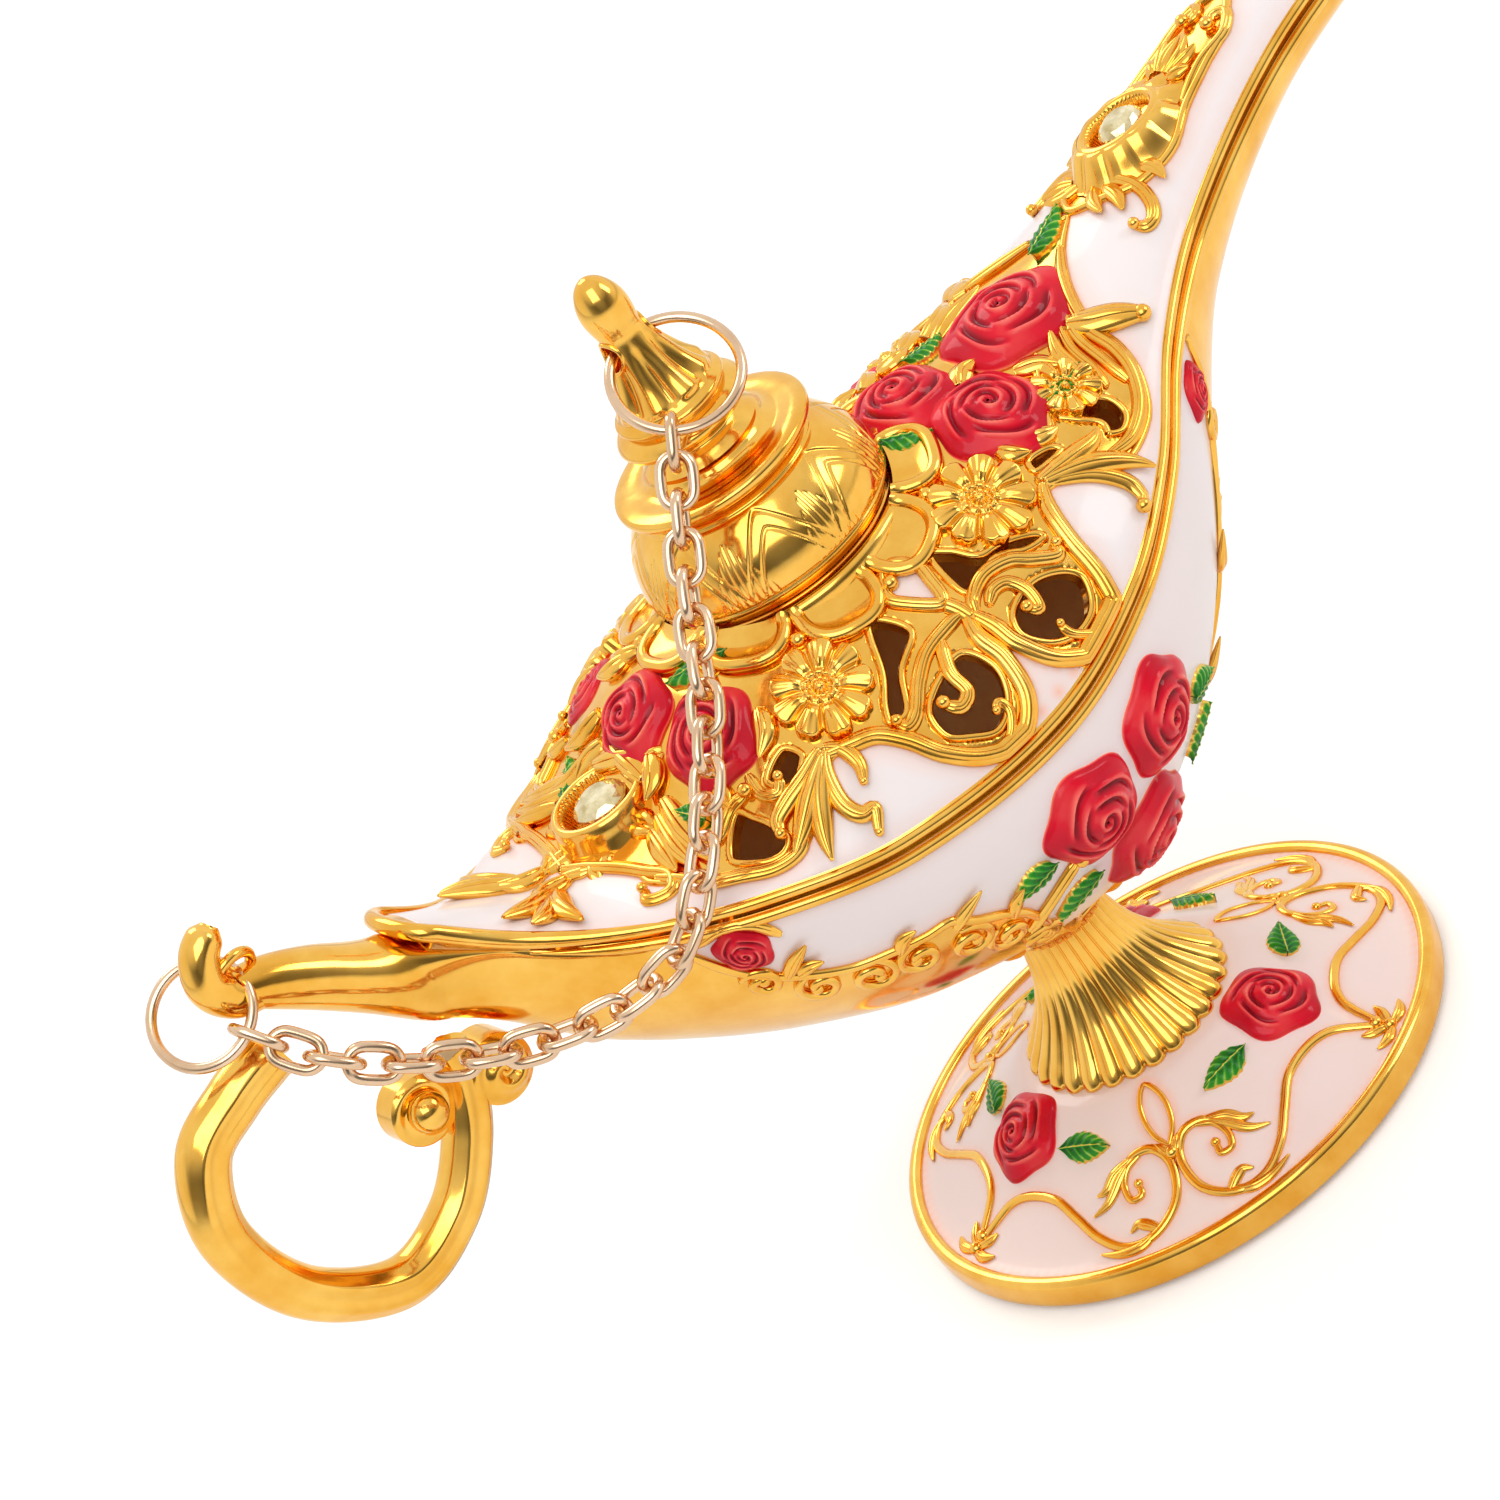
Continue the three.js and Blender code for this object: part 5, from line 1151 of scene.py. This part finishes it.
def make_stem():
    """A waisted stem of convex ribs with scalloped lower ends."""
    shape = Shape()
    base, top = 6.7, 17.85
    rows = [(7.3, 0), (7.6, 0.03), (7.3, 0.09), (6.4, 0.18), (5.1, 0.33), (4.1, 0.5), (3.5, 0.68),
            (3.25, 0.84), (3.8, 0.94), (4.35, 1)]
    profile = spline(rows, 90)
    turn = turns(448)
    share = np.clip(profile[:, 1:], 0, 1)
    wave = np.abs(np.cos(STEM_RIBS * turn / 2)) ** 0.6
    fade = smooth_step((0.97 - share) / 0.06)
    radius = profile[:, :1] * (1 + 0.075 * fade * (wave - 1))
    scallop = 0.15 * (1 - wave) * np.clip(1 - share / 0.08, 0, 1)
    points = np.stack(np.broadcast_arrays(
        radius * np.cos(turn), radius * np.sin(turn), base + share * (top - base) + scallop), -1)
    shape.add(points, ring_faces(90, 448))
    tube(shape, np.stack([4.35 * np.cos(turn), 4.35 * np.sin(turn), np.full(448, 17.5)], -1), 0.3, 10, True)
    lathe(shape, [(1.8, base), (7.3, base)], 112)
    shape.make("stem_flutes", [GOLD], replaces=["stem"])


# Handle
def make_handle():
    shape = Shape()
    route = spline([(-1.2, -5.5), (-5, -5.9), (-8.8, -7.2), (-11, -12), (-9.5, -18.5), (-4.5, -23.2),
                    (0.8, -22.6), (4.6, -19.6),
                    (6.6, -16.4), (7, -14.2)], 160)
    t = np.linspace(0, 1, 160)
    path = HOOK + np.stack([route[:, 0], 0 * t, route[:, 1]], -1)
    thick = 1.66 - 0.26 * t
    along = np.gradient(path, axis=0)
    along /= np.linalg.norm(along, axis=1, keepdims=True)
    out = np.stack([-along[:, 2], 0 * t, along[:, 0]], -1)
    turn = turns(32)
    ridge = 1 + 0.1 * np.abs(np.cos(2 * turn)) ** 0.6
    for flank in (1, -1):
        ridge = ridge - 0.22 * np.exp(-((np.sin(turn) - flank) / 0.05) ** 2)
    section_out, section_y = np.cos(turn) * ridge, np.sin(turn) * ridge
    points = path[:, None] + out[:, None] * (section_out * thick[:, None])[..., None]
    points[..., 1] += 1.75 * section_y
    faces = ring_faces(160, 32) + [tuple(range(32)), tuple(range(159 * 32, 160 * 32))[::-1]]
    shape.add(points, faces)
    for (x, z), size, half in [((8.6, -17.4), 2.3, 2.1), ((3.3, -15.6), 2.3, 1.5)]:
        a = turns(72)
        for side in (-1, 1):
            r = np.linspace(0.02, 1, 20)[:, None]
            swirl = 0.22 * np.cos(a - 9 * r) * (1 - r**4)
            y = side * (half * (1 - 0.25 * r**6) + swirl - 0.2)
            face = np.stack(np.broadcast_arrays(
                HOOK[0] + x + size * r * np.cos(a), y, HOOK[2] + z + size * r * np.sin(a)), -1)
            rows = ring_faces(20, 72)
            shape.add(face, rows if side < 0 else flipped(rows))
        y = np.linspace(-0.75 * half + 0.2, 0.75 * half - 0.2, 6)[:, None]
        wall = np.stack(np.broadcast_arrays(
            HOOK[0] + x + size * np.cos(a), y, HOOK[2] + z + size * np.sin(a)), -1)
        shape.add(wall, flipped(ring_faces(6, 72)))
    for side in (-1, 1):
        ball(shape, HOOK + [3.3, side * 1.35, -15.6], 1.35, segments=24)
    shape.make("handle_scroll", [GOLD], replaces=["handle"])


# Gems, rings and chain
def make_gem(name, x, stretch, radius):
    top = float(cover_height(np.array(x), np.array(0.0))) + 1.3
    floor = top - 1.4
    shape = Shape()
    rings = []
    for k, (share, z) in enumerate([(0.3, 0.02), (1, 0.75), (1, 0.95), (0.82, 1.3), (0.52, 1.6)]):
        a = (np.arange(16) + 0.5 * (k % 2)) * TAU / 16
        rings.append(np.stack([
            x + stretch * radius * share * np.cos(a), radius * share * np.sin(a), np.full(16, floor + z)], -1))
    faces = []
    for i in range(4):
        for j in range(16):
            n = (j + 1) % 16
            low, high = i * 16, (i + 1) * 16
            if i % 2 == 0:
                faces += [(low + j, low + n, high + j), (low + n, high + n, high + j)]
            else:
                faces += [(low + j, low + n, high + n), (low + j, high + n, high + j)]
    faces += [tuple(range(16))[::-1], tuple(range(64, 80))]
    shape.add(np.concatenate(rings), faces)
    shape.make(name + "_stone", [CRYSTAL], slot="crystal", replaces=[name], smooth=False)


def make_wire_node(name, body):
    """A finer wire on the centre line of a CAD ring or link."""
    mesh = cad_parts[name].data
    points = np.empty(len(mesh.vertices) * 3)
    mesh.vertices.foreach_get("co", points)
    points = np.unique(np.round(points.reshape(-1, 3) / MM, 4), axis=0)
    centre = points.mean(0)
    spread_axes = np.linalg.svd(points - centre)[2]
    long_axis, wide_axis, normal = spread_axes
    local = (points - centre) @ spread_axes.T
    half_long, half_wide = np.abs(local[:, 0]).max() - 0.35, np.abs(local[:, 1]).max() - 0.35
    a = turns(64)
    straight = max(half_long - half_wide, 0)
    u = straight * np.tanh(4 * np.cos(a)) + half_wide * np.cos(a)
    v = half_wide * np.sin(a)
    path = centre + u[:, None] * long_axis + v[:, None] * wide_axis
    shape = Shape()
    tube(shape, path, 0.36, 12, True)
    shape.make(name + "_wire", [ROSE_GOLD], body, "rose_gold", [name])


def make_chain():
    make_wire_node("lid_ring", "lid_ring_body")
    make_wire_node("handle_ring", "handle_ring_body")
    for k in range(1, 27):
        make_wire_node(f"chain_link_{k:02d}", f"link_{k:02d}_body")


# Light, floor and camera
# Light finds its way through the pierced cover only by many bounces.
INNER_BOUNCES = 20


def make_stage():
    scene = bpy.context.scene
    scene.view_settings.view_transform = "Standard"
    scene.cycles.max_bounces = scene.cycles.diffuse_bounces = scene.cycles.glossy_bounces = INNER_BOUNCES
    world = bpy.data.worlds.new("studio")
    scene.world = world
    world.use_nodes = True
    tree = world.node_tree
    back = tree.nodes["Background"]
    back.inputs["Color"].default_value = (1, 1, 1, 1)
    where = tree.nodes.new("ShaderNodeTexCoord")
    split = tree.nodes.new("ShaderNodeSeparateXYZ")
    tree.links.new(where.outputs["Generated"], split.inputs["Vector"])
    sky = ramp(tree, split.outputs["Z"], [
        (0.0, (0.1,) * 3), (0.3, (0.16,) * 3), (0.55, (0.75,) * 3), (0.8, (0.95,) * 3)])
    front = node(tree, "ShaderNodeVectorMath", operation="DOT_PRODUCT")
    front.inputs[1].default_value = (-0.3, -0.82, 0.48)
    tree.links.new(where.outputs["Generated"], front.inputs[0])
    mirror = ramp(tree, front.outputs["Value"], [
        (0.0, (1.0,) * 3), (0.35, (0.85,) * 3), (0.6, (0.3,) * 3), (0.85, (0.12,) * 3), (1.0, (0.35,) * 3)])
    rays = tree.nodes.new("ShaderNodeLightPath")
    shown = node(tree, "ShaderNodeMath", operation="MULTIPLY")
    tree.links.new(rays.outputs["Is Glossy Ray"], shown.inputs[0])
    tree.links.new(mirror, shown.inputs[1])
    lit = node(tree, "ShaderNodeMath", operation="MAXIMUM")
    tree.links.new(shown.outputs[0], lit.inputs[0])
    tree.links.new(sky, lit.inputs[1])
    seen = node(tree, "ShaderNodeMath", operation="MAXIMUM")
    tree.links.new(rays.outputs["Is Camera Ray"], seen.inputs[0])
    tree.links.new(lit.outputs[0], seen.inputs[1])
    tree.links.new(seen.outputs[0], back.inputs["Strength"])

    mat, tree, shader = new_material("pale_floor", {"Roughness": 0.9, "Specular IOR Level": 0.1})
    pale = ramp(tree, noise(tree, 40), [(0.3, (0.88, 0.88, 0.88)), (0.7, (0.91, 0.91, 0.91))])
    tree.links.new(pale, shader.inputs["Base Color"])
    rays = tree.nodes.new("ShaderNodeLightPath")
    tree.links.new(spread(tree, rays.outputs["Is Camera Ray"], 0.0, 0.2), shader.inputs["Emission Strength"])
    shader.inputs["Emission Color"].default_value = (1, 1, 1, 1)
    mesh = bpy.data.meshes.new("floor")
    corners = [(-6, -6), (6, -6), (6, 6), (-6, 6)]
    mesh.from_pydata([(x, y, -0.0004) for x, y in corners], [], [(0, 1, 2, 3)])
    mesh.materials.append(mat)
    floor = bpy.data.objects.new("floor", mesh)
    scene.collection.objects.link(floor)

    for name, place, size, power in [
        ("key", (-0.25, -0.45, 0.6), 0.5, 2.0),
        ("fill", (0.55, -0.35, 0.35), 0.25, 0.9),
        ("back", (0.1, 0.5, 0.55), 0.35, 1.4),
    ]:
        lamp = bpy.data.lights.new(name, "AREA")
        lamp.size = size
        lamp.energy = power
        obj = bpy.data.objects.new(name, lamp)
        obj.location = place
        obj.rotation_euler = (Vector((0, 0, 0.04)) - Vector(place)).to_track_quat("-Z", "Y").to_euler()
        scene.collection.objects.link(obj)


def make_camera():
    azimuth, elevation, roll = math.radians(-20.0), math.radians(28.72), math.radians(-37.6)
    flat = math.cos(elevation)
    back = Vector((math.sin(azimuth) * flat, -math.cos(azimuth) * flat, math.sin(elevation)))
    level = Vector((math.cos(azimuth), math.sin(azimuth), 0))
    upright = back.cross(level)
    right = math.cos(roll) * level + math.sin(roll) * upright
    up = -math.sin(roll) * level + math.cos(roll) * upright
    place = (back * 398.7 + right * -29.11 + up * 22.52 - Vector((0, 0, 1.0))) * MM
    data = bpy.data.cameras.new("camera")
    data.lens = 144
    data.sensor_width = 36
    data.clip_start = 0.01
    camera = bpy.data.objects.new("camera", data)
    turn = Matrix((right, up, back)).transposed().to_4x4()
    camera.matrix_world = Matrix.Translation(place) @ turn
    bpy.context.scene.collection.objects.link(camera)
    bpy.context.scene.camera = camera


make_stage()
make_camera()
make_cover()
make_collar()
make_bowl()
make_lid()
make_finial()
make_foot()
make_stem()
make_handle()
make_gem("tail_gem", TAIL_CUP, 1.0, 1.9)
make_gem("spout_gem", SPOUT_CUP, 1.25, 1.4)
make_chain()
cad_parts["foot_screw"].data.materials.clear()
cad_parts["foot_screw"].data.materials.append(STEEL)
